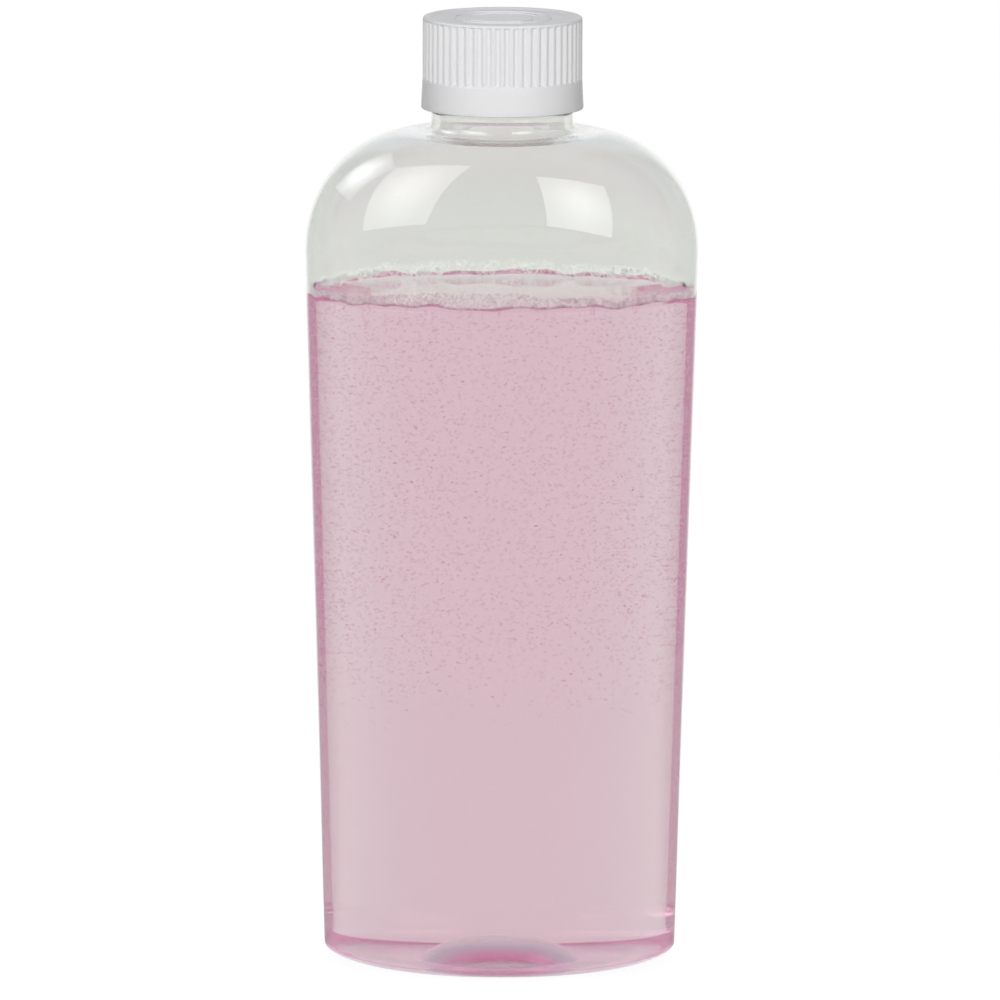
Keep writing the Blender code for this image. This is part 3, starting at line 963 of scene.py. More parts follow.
@dataclass
class Liquid:
    """The pink liquid, which wets the wall and creeps up it a little at its surface."""

    form: BottleForm
    columns: int = 192
    overlap: float = 0.05 * MM
    contact: float = 144.5 * MM
    waves: tuple[Triple, ...] = ((0.22 * MM, 9, 0.7), (0.2 * MM, 17, 2.1), (0.16 * MM, 31, 4.0))
    creep: float = 1.1 * MM
    creep_reach: float = 2.0 * MM
    surface_start: float = 0.05 * MM
    surface_share: float = 0.97
    rim_room: float = 0.3 * MM
    side_rows: int = 59
    surface_rows: int = 28

    def contact_height(self, angle: Array) -> Array:
        """Height of the line where the surface meets the wall, wavering a little round the bottle."""
        return self.contact + waver(angle, self.waves)

    def surface_rings(self, rim: Array) -> Array:
        """Top surface from the wall to near its middle.

        Each ring is the rim drawn in towards the axis. It lies at the flat level plus the creep, which
        dies away with the distance from the wall.

        Args:
            rim: Points of the contact line.

        Returns:
            Points of shape (rows, columns, 3).
        """
        narrow = self.form.body_depth / 2
        away = np.geomspace(self.surface_start, narrow * self.surface_share, self.surface_rows)
        reach = np.linalg.norm(rim[:, :2], axis=-1)
        share = 1.0 - away[:, None] / narrow
        x = rim[:, 0] * share
        y = rim[:, 1] * share
        from_wall = (reach - np.hypot(x, y)) * narrow / np.maximum(reach, narrow)
        flat = self.contact - self.creep
        height = flat + (rim[:, 2] - flat) * np.exp(-from_wall / self.creep_reach)
        return np.stack([x, y, height], axis=-1)

    def build(self) -> bpy.types.Object:
        """Close the wetted inside of the wall with the surface.

        Returns:
            The piece.
        """
        angle = ring_angles(self.columns)
        outside, wall = self.form.low_rings(angle, self.contact + self.creep, self.side_rows)
        depth = wall - self.overlap
        inside = outside - grid_normals(outside) * depth[:, None, None]
        line = self.contact_height(angle)
        below = inside[:, :, 2].max(axis=1) < line.min() - self.rim_room
        rim, _ = self.form.side_points(angle, line, self.form.wall - self.overlap)
        rings = np.concatenate([inside[below], rim[None], self.surface_rings(rim)])
        return skin("pink_liquid", rings, self.form.push_up + depth[0], self.contact - self.creep)


@dataclass(frozen=True)
class BubbleSet:
    """Sizes of one piece of foam, whose bubbles are balls of a few rings."""

    name: str
    side: Side
    count: int
    smallest: float
    largest: float
    rows: int
    columns: int


@dataclass
class Foam:
    """Ring of foam on the wall above the liquid: fine on the front and ends, fine and coarse at the back.

    The front's bubbles go on round the ends a little, and the back's stop short of them. The foam's
    heights are listed for places along X, both in millimetres, and run straight between them.
    """

    form: BottleForm
    liquid: Liquid
    seed: int = 11
    sets: tuple[BubbleSet, ...] = (
        BubbleSet("front_foam", Side.FRONT, 3600, smallest=0.16 * MM, largest=0.45 * MM, rows=2, columns=6),
        BubbleSet("back_foam", Side.BACK, 900, smallest=0.2 * MM, largest=0.6 * MM, rows=3, columns=7),
        BubbleSet("coarse_foam", Side.BACK, 130, smallest=0.5 * MM, largest=1.5 * MM, rows=6, columns=10),
    )
    front_margin: float = -0.05
    back_margin: float = 0.3
    height_places: tuple[float, ...] = (-41.0, -31.0, -16.0, -2.0, 9.5, 17.0, 29.5, 41.0)
    front_heights: tuple[float, ...] = (1.1, 1.9, 3.0, 3.9, 2.5, 2.2, 1.9, 1.3)
    back_heights: tuple[float, ...] = (0.8, 2.2, 2.9, 2.9, 2.5, 2.5, 2.2, 0.8)
    least_room: float = 0.2 * MM
    small_favour: float = 1.6
    low_favour: float = 1.25
    lift_share: float = 0.3
    inset_shares: tuple[float, float] = (1.02, 1.6)
    edge_radius: float = 0.3 * MM
    edge_lift: float = 0.15 * MM
    edge_inset_share: float = 1.5
    edge_swells: tuple[Triple, ...] = ((0.3, 23, 1.0), (0.25, 41, 3.0))
    edge_least_share: float = 0.5
    edge_most_share: float = 1.4
    edge_columns: int = 360
    edge_rows: int = 8

    def ring_height(self, x: Array, side: Side) -> Array:
        """Height of the foam on one face above the contact line, from the place along X."""
        heights = self.front_heights if side is Side.FRONT else self.back_heights
        return np.interp(x, np.array(self.height_places) * MM, np.array(heights) * MM)

    def wet_edge_and_shade(self) -> bpy.types.Object:
        """Thin bead of pink liquid that the foam's foot holds along the contact line.

        The bead is a round tube on the line, and its radius swells and shrinks on its way round. Its deeper
        pink tint is painted shade, which stands for the dark line that refraction draws along the contact
        line.

        Returns:
            The bead.
        """
        angle = ring_angles(self.edge_columns)
        line = self.liquid.contact_height(angle) + self.edge_lift
        inset = self.form.wall + self.edge_inset_share * self.edge_radius
        middle, normal = self.form.side_points(angle, line, inset)
        swell = 1.0 + waver(angle, self.edge_swells)
        radius = self.edge_radius * np.clip(swell, self.edge_least_share, self.edge_most_share)
        turn = ring_angles(self.edge_rows)[:, None, None]
        loops = middle + (normal * np.cos(turn) + UPRIGHT * np.sin(turn)) * radius[:, None]
        return mesh_from_faces("foam_wet_bead_and_shade", loops, [ring_quads(*loops.shape[:2], closed=True)])

    def bubbles(self, sizes: BubbleSet, rng: np.random.Generator) -> Array:
        """Places and sizes of bubbles that cling to the inside of the wall.

        Args:
            sizes: What the bubbles are like.
            rng: Source of the random draws.

        Returns:
            Matrices of shape (count, 3, 4).
        """
        side, count = sizes.side, sizes.count
        margin = self.front_margin if side is Side.FRONT else self.back_margin
        angle = side.value * rng.uniform(margin, math.pi - margin, count)
        radius = sizes.smallest * (sizes.largest / sizes.smallest) ** (rng.random(count) ** self.small_favour)
        rim, _ = self.form.side_points(angle, np.full(count, self.liquid.contact), 0.0)
        room = np.maximum(self.ring_height(rim[:, 0], side) - radius, self.least_room)
        lift = radius * self.lift_share + room * rng.random(count) ** self.low_favour
        depth = self.form.wall + radius * rng.uniform(*self.inset_shares, count)
        middle, _ = self.form.side_points(angle, self.liquid.contact_height(angle) + lift, depth)
        places = np.zeros((count, 3, 4))
        places[:, [0, 1, 2], [0, 1, 2]] = radius[:, None]
        places[:, :, 3] = middle
        return places

    def build(self) -> list[bpy.types.Object]:
        """Make a piece of every set of bubbles, in order, from one source of random draws.

        Returns:
            The pieces.
        """
        rng = np.random.default_rng(self.seed)
        return [scatter(one.name, ball(one.rows, one.columns), self.bubbles(one, rng)) for one in self.sets]


@dataclass
class FineBubbles:
    """Fine slanting bubbles that hang in the liquid close to the wall, fading out towards the base."""

    form: BottleForm
    liquid: Liquid
    count: int = 9500
    seed: int = 23
    lowest: float = 45.0 * MM
    fade_foot: float = 48.0 * MM
    fade_top: float = 82.0 * MM
    under_surface: float = 1.5 * MM
    wall_room: float = 0.5 * MM
    deepest: float = 6.0 * MM
    tilt_spread: float = 0.6
    half_sizes: tuple[tuple[float, float], ...] = (
        (0.24 * MM, 0.5 * MM), (0.13 * MM, 0.24 * MM), (0.13 * MM, 0.22 * MM))
    ball_rows: int = 2
    ball_columns: int = 4

    def build(self) -> bpy.types.Object:
        """Scatter the bubbles, twice as many as are wanted before those of the fade are left out.

        Returns:
            The piece.
        """
        rng = np.random.default_rng(self.seed)
        draws = self.count * 2
        angle = rng.uniform(0.0, FULL_TURN, draws)
        height = rng.uniform(self.lowest, self.liquid.contact - self.under_surface, draws)
        kept = rng.random(draws) < smooth_step(self.fade_foot, self.fade_top, height)
        angle, height = angle[kept][:self.count], height[kept][:self.count]
        count = len(angle)
        depth = self.form.wall + self.wall_room + rng.uniform(0.0, self.deepest, count)
        middle, normal = self.form.side_points(angle, height, depth)
        tangent = np.stack([-normal[:, 1], normal[:, 0], np.zeros(count)], axis=-1)
        tilt = rng.normal(0.0, self.tilt_spread, count)[:, None]
        long_axis = tangent * np.cos(tilt) + UPRIGHT * np.sin(tilt)
        short_axis = UPRIGHT * np.cos(tilt) - tangent * np.sin(tilt)
        axes = (long_axis, short_axis, np.cross(long_axis, short_axis))
        places = np.zeros((count, 3, 4))
        for column, (axis, ends) in enumerate(zip(axes, self.half_sizes)):
            places[:, :, column] = axis * rng.uniform(*ends, count)[:, None]
        places[:, :, 3] = middle
        return scatter("fine_bubbles", ball(self.ball_rows, self.ball_columns), places)


@dataclass
class OuterCap:
    """The ribbed shell, with a plain flared band at its foot and a bead inside it."""

    top: float
    foot: float
    flare_radius: float
    radius: float = 16.93 * MM
    bore: float = 15.5 * MM
    top_wall: float = 1.2 * MM
    under_radii: tuple[float, float] = (6.0 * MM, 11.0 * MM)
    bore_start: float = 2.0 * MM
    band_height: float = 6.3 * MM
    band_bore: float = 16.3 * MM
    band_end: float = 0.35 * MM
    bead_radius: float = 15.6 * MM
    bead_slope: float = 0.7 * MM
    bead_land: float = 0.8 * MM
    lip_room: float = 3.9 * MM
    corner: float = 0.25 * MM
    foot_round: float = 0.3 * MM
    rim_round: float = 0.55 * MM
    rim_width: float = 1.5 * MM
    recess: float = 0.35 * MM
    recess_edge: float = 0.1 * MM
    recess_crest: float = 0.05 * MM
    recess_root: float = 0.03 * MM
    disc_rim: float = 1.0 * MM
    disc_middle: float = 1.5 * MM
    rib_count: int = 54
    rib_depth: float = 0.6 * MM
    rib_half_width: float = 0.52 * MM
    rib_softness: float = 0.3 * MM
    rib_top_margin: float = 0.5 * MM
    rib_start: float = 0.2 * MM
    rib_end: float = 1.6 * MM
    rib_foot_room: float = 2.2 * MM
    rib_head_room: float = 1.3 * MM
    columns_per_rib: int = 12
    bore_rows: int = 5
    edge_rows: int = 5
    band_rows: int = 7
    rib_rows: tuple[int, int, int] = (16, 10, 12)
    rim_rows: int = 8
    disc_rows: int = 8
    sharp_angle: float = math.radians(50)

    @classmethod
    def from_frame(cls) -> "OuterCap":
        """Take the outer sizes from the frame's outer cap node."""
        low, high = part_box("outer_cap")
        return cls(high.z, low.z, (high.x - low.x) / 2)

    def rib_field(self, angle: Array, height: Array) -> Array:
        """How far the skirt stands out over the floor between the ribs, as a share of the depth.

        A rib is every point within its half width of an upright line with round ends, with a soft edge.

        Args:
            angle: Angle of each point.
            height: Height of each point.

        Returns:
            Shares from 0 to 1.
        """
        pitch = FULL_TURN / self.rib_count
        across = (np.mod(angle, pitch) - pitch / 2) * self.radius
        low = self.foot + self.band_height + self.rib_half_width
        high = self.top - self.rib_top_margin - self.rib_half_width
        beyond = np.maximum(np.maximum(low - height, height - high), 0.0)
        distance = np.hypot(across, beyond)
        edge = self.rib_half_width
        return smooth_step(edge + self.rib_softness, edge - self.rib_softness, distance)

    def inside_outline(self) -> list[tuple[float, float]]:
        """Outline from the middle of the underside, down the bore and over the bead to the foot.

        Returns:
            Points (radius, height).
        """
        corner, half = self.corner, self.corner / 2
        under = self.top - self.top_wall
        bead_foot = self.foot + self.bead_slope
        bead_top = bead_foot + self.bead_land
        room_top = bead_top + self.lip_room
        points = [(radius, under) for radius in (*self.under_radii, self.bore - corner)]
        points += [(self.bore, under - corner)]
        bore_heights = np.linspace(under - self.bore_start, room_top, self.bore_rows)
        points += [(self.bore, height) for height in bore_heights]
        points += [(self.band_bore - corner, room_top), (self.band_bore, room_top - corner),
                   (self.band_bore, bead_top + corner), (self.band_bore - corner, bead_top),
                   (self.bead_radius + corner, bead_top), (self.bead_radius, bead_top - corner),
                   (self.bead_radius, bead_foot + half), (self.bead_radius + half, bead_foot - half),
                   (self.band_bore - half, self.foot + half), (self.band_bore, self.foot)]
        return points

    def profile(self) -> tuple[Array, Array]:
        """Outline from the middle of the underside, down the inside, up the outside and back to the axis.

        Returns:
            Points (radius, height), and for each the share of the ribs' depth that it takes part in.
        """
        inside = self.inside_outline()
        turns = np.linspace(0.0, QUARTER_TURN, self.edge_rows)
        edge = self.foot_round
        foot_edge = arc(self.flare_radius - edge, self.foot + edge, edge, turns - QUARTER_TURN)
        band_top = self.foot + self.band_height
        band_heights = np.linspace(self.foot + edge, band_top - self.band_end, self.band_rows + 1)[1:]
        shares = (band_heights - self.foot) / self.band_height
        band = list(zip(self.flare_radius + (self.radius - self.flare_radius) * shares, band_heights))
        rib_top = self.top - self.rib_top_margin
        rib_ends = ((band_top - self.rib_start, band_top + self.rib_end),
                    (band_top + self.rib_foot_room, rib_top - self.rib_end),
                    (rib_top - self.rib_head_room, self.top - self.rim_round))
        ribbed = [(self.radius, height) for ends, rows in zip(rib_ends, self.rib_rows)
                  for height in np.linspace(*ends, rows)]
        rim_turns = np.linspace(0.0, QUARTER_TURN, self.rim_rows + 1)[1:]
        rim = arc(self.radius - self.rim_round, self.top - self.rim_round, self.rim_round, rim_turns)
        recess_radius = self.radius - self.rim_round - self.rim_width
        crest, low = recess_radius + self.recess, self.top - self.recess
        step = [(crest + self.recess_edge, self.top), (crest, self.top - self.recess_crest),
                (recess_radius, low + self.recess_root), (recess_radius - self.recess_edge, low)]
        disc_radii = np.linspace(recess_radius - self.disc_rim, self.disc_middle, self.disc_rows)
        disc = [(radius, low) for radius in disc_radii]
        points = np.array(inside + foot_edge + band + ribbed + rim + step + disc)
        ribs = np.zeros(len(points))
        start = len(inside) + len(foot_edge) + len(band)
        ribs[start:start + len(ribbed)] = 1.0
        return points, ribs

    def build(self) -> bpy.types.Object:
        """Turn the profile and let the floor between the ribs into it.

        Returns:
            The piece.
        """
        angle = ring_angles(self.rib_count * self.columns_per_rib)
        profile, ribs = self.profile()
        radius, height = profile[:, :1], profile[:, 1:]
        band_top = self.foot + self.band_height
        rim_foot = self.top - self.rim_round
        zone = smooth_step(band_top - self.rib_start, band_top + self.band_end, height)
        zone = zone * smooth_step(rim_foot, rim_foot - self.band_end, height)
        drop = self.rib_depth * zone * ribs[:, None] * (1.0 - self.rib_field(angle, height))
        rings = oval(radius - drop, radius - drop, height, angle)
        return skin("ribbed_cap", rings, self.top - self.top_wall, self.top - self.recess, self.sharp_angle)


@dataclass
class CapRelief:
    """Raised marks on the cap's top: a thin ring, and inside it two curved arrows for the way to turn."""

    floor: float
    stand_out: float = 0.22 * MM
    sunk: float = 0.05 * MM
    bevel: float = 0.1 * MM
    ring_radius: float = 10.2 * MM
    ring_half_width: float = 0.3 * MM
    ring_columns: int = 144
    arrow_count: int = 2
    arrow_radius: float = 7.6 * MM
    arrow_half_width: float = 0.45 * MM
    arrow_sweep: float = math.radians(118)
    arrow_start: float = math.radians(31)
    head_share: float = 0.24
    head_step_share: float = 0.002
    head_half_width: float = 1.25 * MM
    point_half_width: float = 0.04 * MM
    bevel_share: float = 0.6
    shaft_rows: int = 24
    head_rows: int = 9
    sharp_angle: float = math.radians(30)

    def ring(self) -> bpy.types.Object:
        """Turn the ring's outline, which has sloping sides, round the axis.

        Returns:
            The ring.
        """
        low, high = self.floor - self.sunk, self.floor + self.stand_out
        half, bevelled = self.ring_half_width, self.ring_half_width - self.bevel
        radius = self.ring_radius + np.array([-half, half, bevelled, -bevelled])[:, None]
        height = np.array([low, low, high, high])[:, None]
        loops = oval(radius, radius, height, ring_angles(self.ring_columns))
        faces = ring_quads(*loops.shape[:2], closed=True)
        return mesh_from_faces("cap_ring_mark", loops, [faces], self.sharp_angle)

    def arrows(self) -> bpy.types.Object:
        """Two arcs that end in pointed heads, half a turn apart.

        Each arrow is a row of level slices across its arc. The half width is even along the shaft, jumps
        at the head and falls to nearly nothing at the point.

        Returns:
            Both arrows in one object.
        """
        shaft = 1.0 - self.head_share
        along = np.concatenate([np.linspace(0.0, shaft, self.shaft_rows), [shaft + self.head_step_share],
                                np.linspace(shaft, 1.0, self.head_rows + 1)[1:]])
        head = self.head_half_width * (1.0 - along) / self.head_share
        half = np.maximum(np.where(along > shaft, head, self.arrow_half_width), self.point_half_width)
        inner = half - np.minimum(self.bevel, half * self.bevel_share)
        across = np.stack([-half, half, inner, -inner], axis=1)
        low, high = self.floor - self.sunk, self.floor + self.stand_out
        height = np.array([low, low, high, high])
        rows, corners = across.shape
        sides = np.roll(ring_quads(rows, corners)[:, ::-1], 1, axis=1)
        first = np.arange(corners)
        ends = np.stack([first, first[::-1] + (rows - 1) * corners])
        number = np.arange(self.arrow_count)[:, None, None]
        angle = self.arrow_start + number * FULL_TURN / self.arrow_count + self.arrow_sweep * along[:, None]
        radius = self.arrow_radius + across
        points = oval(radius, radius, height, angle)
        faces = np.concatenate([sides, ends]) + number * rows * corners
        return mesh_from_faces("cap_arrow_marks", points, [faces], self.sharp_angle)

    def build(self) -> list[bpy.types.Object]:
        """Make the ring and the arrows."""
        return [self.ring(), self.arrows()]


def hang_area_lamp(name: str, towards: Triple, up: Triple, distance: float, width: float,
                   height: float) -> bpy.types.Object:
    """Rectangular lamp that faces the bottle's shoulder, with a radiance of 1.

    Args:
        name: Name of the lamp.
        towards: Direction from the shoulder to the lamp.
        up: Direction of its upper edge.
        distance: How far away it hangs.
        width: Its width.
        height: Its height.

    Returns:
        The lamp.
    """
    shoulder = Vector((0.0, 0.0, 165.0 * MM))
    direction = Vector(towards).normalized()
    data = bpy.data.lights.new(name, "AREA")
    data.shape = "RECTANGLE"
    data.size = width
    data.size_y = height
    data.energy = math.pi * data.size * data.size_y
    lamp = bpy.data.objects.new(name, data)
    bpy.context.scene.collection.objects.link(lamp)
    side = Vector(up).cross(direction).normalized()
    turn = Matrix((side, direction.cross(side), direction)).transposed()
    lamp.matrix_world = Matrix.Translation(shoulder + direction * distance) @ turn.to_4x4()
    return lamp


@dataclass(frozen=True)
class SoftBox:
    """Soft box that faces the bottle's shoulder, bright in its middle and dimmer towards its edges.

    It shows in gloss and in glass only. Its radiance is written so that 1 is white.
    """

    name: str
    towards: Triple
    up: Triple
    width_share: float
    height_share: float
    middle: float
    edge: float
    tint: Triple = WHITE
    distance: float = 0.9
    edge_from: float = 0.6

    def build(self) -> bpy.types.Object:
        """Hang the lamp. Its width and height are shares of its distance.

        The radiance falls smoothly with the distance from the lamp's middle, in shares of its sides.

        Returns:
            The lamp.
        """
        width, height = self.width_share * self.distance, self.height_share * self.distance
        lamp = hang_area_lamp(self.name, self.towards, self.up, self.distance, width, height)
        lamp.visible_diffuse = False
        lamp.data.use_nodes = True
        graph = Graph(lamp.data.node_tree)
        place = graph.add("NewGeometry").outputs["Parametric"]
        away = graph.add("VectorMath", {0: place, 1: (0.5, 0.5, 0.0)}, operation="DISTANCE").outputs["Value"]
        glow = next(node for node in graph.tree.nodes if node.type == "EMISSION")
        graph.fill(glow.inputs["Color"], self.tint)
        strength = graph.remap(away, 0.0, self.edge_from, self.middle, self.edge, Ramp.SMOOTH)
        graph.fill(glow.inputs["Strength"], strength)
        return lamp


@dataclass
class Studio:
    """Pale floor, soft boxes, white surroundings and the camera."""

    camera_height: float = 0.54784
    camera_distance: float = 2.80652
    camera_side: float = -0.0002
    pitch: float = 0.15842
    roll: float = 0.0035
    lens: float = 480.53
    bounces: int = 32
    floor_size: float = 16.0
    floor_drop: float = 0.1 * MM
    floor_tiles: int = 8
    floor_tone: Triple = (0.9, 0.9, 0.9)
    floor_roughness: float = 0.9
    floor_glow: float = 0.95
    floor_shade: Triple = (0.12, 0.12, 0.12)
    front_dimmest: float = 0.78
    front_reach: float = -0.8
    side_dimmest: float = 0.4
    side_start: float = 0.3
    side_end: float = 0.5
    behind_reach: float = 0.35
    ambient: float = 0.72
    ambient_front: float = 0.2
    ambient_sides: float = 0.56
    room_top: Triple = (0.74, 0.77, 0.88)
    room_top_start: float = 0.15
    room_top_end: float = 0.5
    key: float = 4.8
    key_towards: Triple = (-0.08, -0.95, 0.3)
    key_distance: float = 1.6
    key_size: float = 0.8
    soft_boxes: tuple[SoftBox, ...] = (
        SoftBox("left_soft_box", (-0.6415, -0.4938, 0.5871), (0.366, 0.476, 0.8),
                width_share=0.754, height_share=0.937, middle=3.4, edge=1.5),
        SoftBox("right_soft_box", (0.5093, -0.7298, 0.4561), (-0.084, 0.485, 0.87),
                width_share=0.584, height_share=0.674, middle=3.6, edge=1.8),
        SoftBox("left_side_box", (-0.7309, 0.3246, 0.6003), (0.329, 0.938, -0.107),
                width_share=0.523, height_share=0.595, middle=4.2, edge=0.8, tint=(0.9, 0.96, 1.0)),
    )

    def floor(self) -> bpy.types.Object:
        """Pale floor that shows white to the camera and still takes the object's shadow.

        Returns:
            The floor.
        """
        tiles, points_a_row = self.floor_tiles, self.floor_tiles + 1
        steps = np.linspace(-self.floor_size / 2, self.floor_size / 2, points_a_row)
        x, y = np.meshgrid(steps, steps)
        points = np.stack([x, y, np.full_like(x, -self.floor_drop)], axis=-1)
        corner = np.arange(tiles)[:, None] * points_a_row + np.arange(tiles)
        quads = np.stack([corner, corner + 1, corner + points_a_row + 1, corner + points_a_row], axis=-1)
        floor = mesh_from_faces("floor", points, [quads])
        graph = MaterialGraph("pale_floor", Base_Color=self.floor_tone, Roughness=self.floor_roughness,
                              Specular_IOR_Level=0.0)
        path = graph.add("LightPath")
        seen = path.outputs["Is Camera Ray"]
        direction = graph.add("VectorMath", {0: graph.own_place()}, operation="NORMALIZE").outputs["Vector"]
        across, along, _ = graph.split(direction)
        in_glass, brightness = self.dimming(graph, across, along, path)
        shown = graph.math("ADD", seen, graph.math("MULTIPLY", in_glass, brightness))
        glow = graph.add("Emission", {"Strength": graph.math("MULTIPLY", shown, self.floor_glow)})
        shade = graph.add("BsdfDiffuse", {"Color": self.floor_shade})
        both = graph.add("AddShader", {0: glow.outputs[0], 1: shade.outputs[0]})
        graph.show_instead(graph.math("MAXIMUM", seen, in_glass), both.outputs[0])
        floor.data.materials.append(graph.material)
        return floor

    def dimming(self, graph: Graph, across: Socket, along: Socket, path: Node) -> tuple[Socket, Socket]:
        """Whether gloss or glass shows the surroundings, and how bright they are there, by direction.

        They are 1 straight behind the object and a little less in front. What surfaces mirror from behind
        it to the sides is low, which draws the darker edges of the bottle and the cap. What is seen
        through glass there isn't lowered.

        Args:
            graph: Graph to add the nodes to.
            across: The direction's share along X.
            along: Its share along Y.
            path: Light Path node of the graph.

        Returns:
            1 in gloss and glass and otherwise 0, and the brightness.
        """
        in_glass = graph.math("MAXIMUM", path.outputs["Is Glossy Ray"], path.outputs["Is Transmission Ray"])
        front = graph.remap(along, self.front_reach, 0.0, self.front_dimmest, 1.0, Ramp.SMOOTH)
        sideways = graph.math("ABSOLUTE", across)
        beside = graph.remap(sideways, self.side_start, self.side_end, 0.0, 1.0, Ramp.SMOOTH)
        behind = graph.remap(along, 0.0, self.behind_reach, 0.0, 1.0 - self.side_dimmest, Ramp.SMOOTH)
        to_sides = graph.math("MULTIPLY", beside, behind)
        dark = graph.math("MULTIPLY", to_sides, path.outputs["Is Reflection Ray"])
        return in_glass, graph.math("MULTIPLY", front, graph.math("SUBTRACT", 1.0, dark))

    def world(self) -> None:
        """Surroundings: white to the camera, an even soft light, and a room for gloss and glass to show.

        The soft light is a little stronger from the front and weaker from the sides. The room is white
        low down behind the object, and dimmer and bluer higher up and towards the front.
        """
        world = bpy.data.worlds.new("white_room")
        bpy.context.scene.world = world
        world.use_nodes = True
        graph = Graph(world.node_tree)
        graph.tree.nodes.clear()
        path = graph.add("LightPath")
        across, along, rise = graph.split(graph.add("TexCoord").outputs["Generated"])
        in_glass, brightness = self.dimming(graph, across, along, path)
        from_front = graph.math("MULTIPLY", along, self.ambient_front)
        from_sides = graph.math("MULTIPLY", graph.math("ABSOLUTE", across), self.ambient_sides)
        soft_light = graph.math("SUBTRACT", graph.math("SUBTRACT", self.ambient, from_front), from_sides)
        high_up = graph.remap(rise, self.room_top_start, self.room_top_end, 0.0, 1.0, Ramp.SMOOTH)
        room = graph.blend(high_up, WHITE, self.room_top)
        dimmed = graph.add("VectorMath", {"Vector": room, "Scale": brightness}, operation="SCALE")
        around = graph.blend(in_glass, soft_light, dimmed.outputs["Vector"])
        shown = graph.blend(path.outputs["Is Camera Ray"], around, WHITE)
        background = graph.add("Background", {"Color": shown})
        graph.add("OutputWorld", {"Surface": background.outputs[0]})

    def camera(self) -> bpy.types.Object:
        """Camera at the photograph's angle, with its slight roll and without a shift.

        Returns:
            The camera.
        """
        data = bpy.data.cameras.new("camera")
        data.sensor_width = 36.0
        data.lens = self.lens
        data.clip_start = 0.1
        data.clip_end = 60.0
        camera = bpy.data.objects.new("camera", data)
        bpy.context.scene.collection.objects.link(camera)
        camera.location = (self.camera_side, -self.camera_distance, self.camera_height)
        upright = Matrix.Rotation(QUARTER_TURN - self.pitch, 3, "X")
        camera.rotation_euler = (upright @ Matrix.Rotation(self.roll, 3, "Z")).to_euler()
        bpy.context.scene.camera = camera
        return camera

    def key_lamp(self) -> bpy.types.Object:
        """Broad lamp above the camera that gives matt surfaces their soft shading. Gloss doesn't show it.

        Returns:
            The lamp.
        """
        lamp = hang_area_lamp("key_lamp", self.key_towards, tuple(UPRIGHT), self.key_distance, self.key_size,
                              self.key_size)
        lamp.data.energy *= self.key
        lamp.visible_glossy = False
        lamp.visible_transmission = False
        return lamp

    def build(self) -> None:
        """Set up the stage, the lamps, the world and the camera."""
        self.floor()
        for soft_box in self.soft_boxes:
            soft_box.build()
        self.key_lamp()
        self.world()
        self.camera()
        scene = bpy.context.scene
        scene.view_settings.view_transform = "Standard"
        scene.cycles.max_bounces = self.bounces
        scene.cycles.transmission_bounces = self.bounces
        scene.cycles.glossy_bounces = self.bounces


def dress(piece: bpy.types.Object, material: bpy.types.Material) -> None:
    """Give a piece one material in place of those it has."""
    piece.data.materials.clear()
    piece.data.materials.append(material)


def seat(piece: bpy.types.Object, material: bpy.types.Material, body: str, slot: str, *nodes: str) -> None:
    """Dress a new piece, let it ride on its body and hide the frame's nodes that it replaces.

    Args:
        piece: The new piece.
        material: Its finish.
        body: The body that it moves with.
        slot: The record's material slot. It is not used.
        nodes: The frame's nodes that it replaces, if any.
    """
    dress(piece, material)
    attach(piece, body)
    if nodes:
        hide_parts(*nodes)
    faces = sum(len(polygon.vertices) - 2 for polygon in piece.data.polygons)
    log.info("%s: %d triangles on %s", piece.name, faces, body)


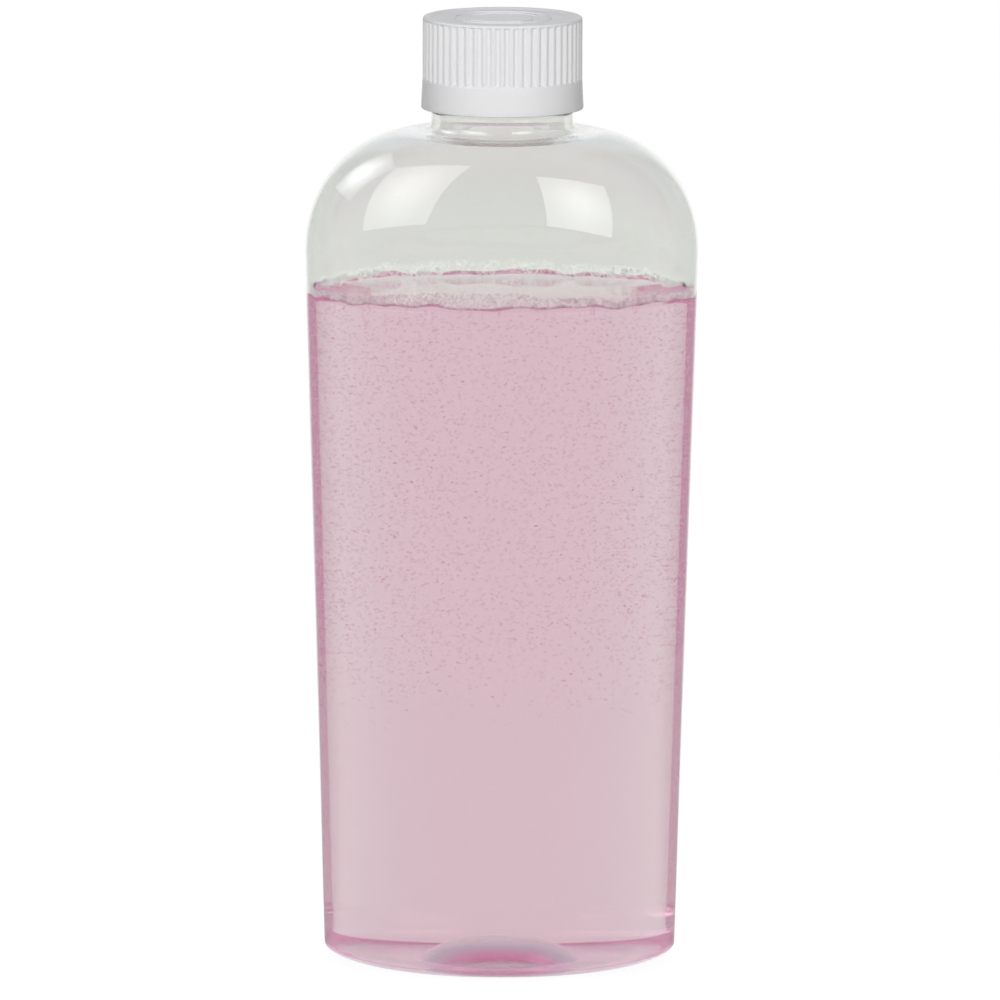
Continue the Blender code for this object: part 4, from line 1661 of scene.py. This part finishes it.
def build_contents(form: BottleForm, groups: EffectGroups) -> None:
    """Build the liquid, its foam and its fine bubbles.

    Args:
        form: Sizes of the bottle that holds them.
        groups: The shared node groups.
    """
    pink_film = FoamFilm(name="pink_foam_film", tone=(1.0, 0.92, 0.95), other_tone=(0.3, 0.12, 0.2),
                         glow=0.5, middle_cover=0.08, edge_cover=0.8).material(groups)
    pale_film = FoamFilm(name="pale_foam_film", tone=(0.92, 0.95, 0.92), other_tone=(0.7, 0.7, 0.68),
                         glow=0.64, middle_cover=0.05, edge_cover=0.45).material(groups)
    fleck = TintedClear(name="bubble_fleck", tone=(0.97, 0.93, 0.95), other_tone=(0.88, 0.78, 0.83))
    # The wet edge's deeper pink tint is painted shade, which stands for the dark line that refraction draws
    # where the liquid meets the wall.
    wet_edge_and_shade = TintedClear(name="foam_wet_bead_and_shade", tone=(0.78, 0.48, 0.62), other_tone=(0.66, 0.34, 0.5),
                           ior=1.1)
    liquid = Liquid(form)
    seat(liquid.build(), PinkLiquid().material(groups), "bottle", "pink_liquid", "liquid")
    foam = Foam(form, liquid)
    for piece, film in zip(foam.build(), (pink_film, pale_film, pale_film)):
        seat(piece, film, "bottle", "pink_liquid")
    seat(foam.wet_edge_and_shade(), wet_edge_and_shade.material(groups), "bottle", "pink_liquid")
    seat(FineBubbles(form, liquid).build(), fleck.material(groups), "bottle", "pink_liquid")


def build_caps(groups: EffectGroups) -> None:
    """Build the outer cap and its marks, and dress the inner cap and the liner, which keep their shapes.

    Args:
        groups: The shared node groups.
    """
    white = SatinPlastic(name="white_cap", tone=(0.83, 0.83, 0.84), other_tone=(0.8, 0.8, 0.81),
                         gloss=0.3).material(groups)
    cap = OuterCap.from_frame()
    seat(cap.build(), white, "outer_cap", "white_cap", "outer_cap")
    for piece in CapRelief(cap.top - cap.recess).build():
        seat(piece, white, "outer_cap", "white_cap")
    inner = SatinPlastic(name="inner_cap", tone=(0.80, 0.80, 0.79), other_tone=(0.77, 0.77, 0.76),
                         soaked_light=0.6)
    dress(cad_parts["inner_cap"], inner.material(groups))
    foam_disc = SatinPlastic(name="liner_foam", tone=(0.86, 0.86, 0.84), other_tone=(0.82, 0.82, 0.80),
                             smoothest=0.7, roughest=0.85, grain_scale=1800.0, grain_height=0.03 * MM,
                             soaked_light=0.6)
    dress(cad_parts["liner"], foam_disc.material(groups))


def main() -> None:
    """Build every sub-assembly in order, from the bottle outwards."""
    groups = EffectGroups()
    form = BottleForm.from_frame()
    seat(Bottle(form).build(), ClearWall().material(groups), "bottle", "clear_plastic", "bottle")
    build_contents(form, groups)
    build_caps(groups)
    Studio().build()


if __name__ == "__main__":
    logging.basicConfig(level=logging.INFO, format="%(name)s: %(message)s")
    main()
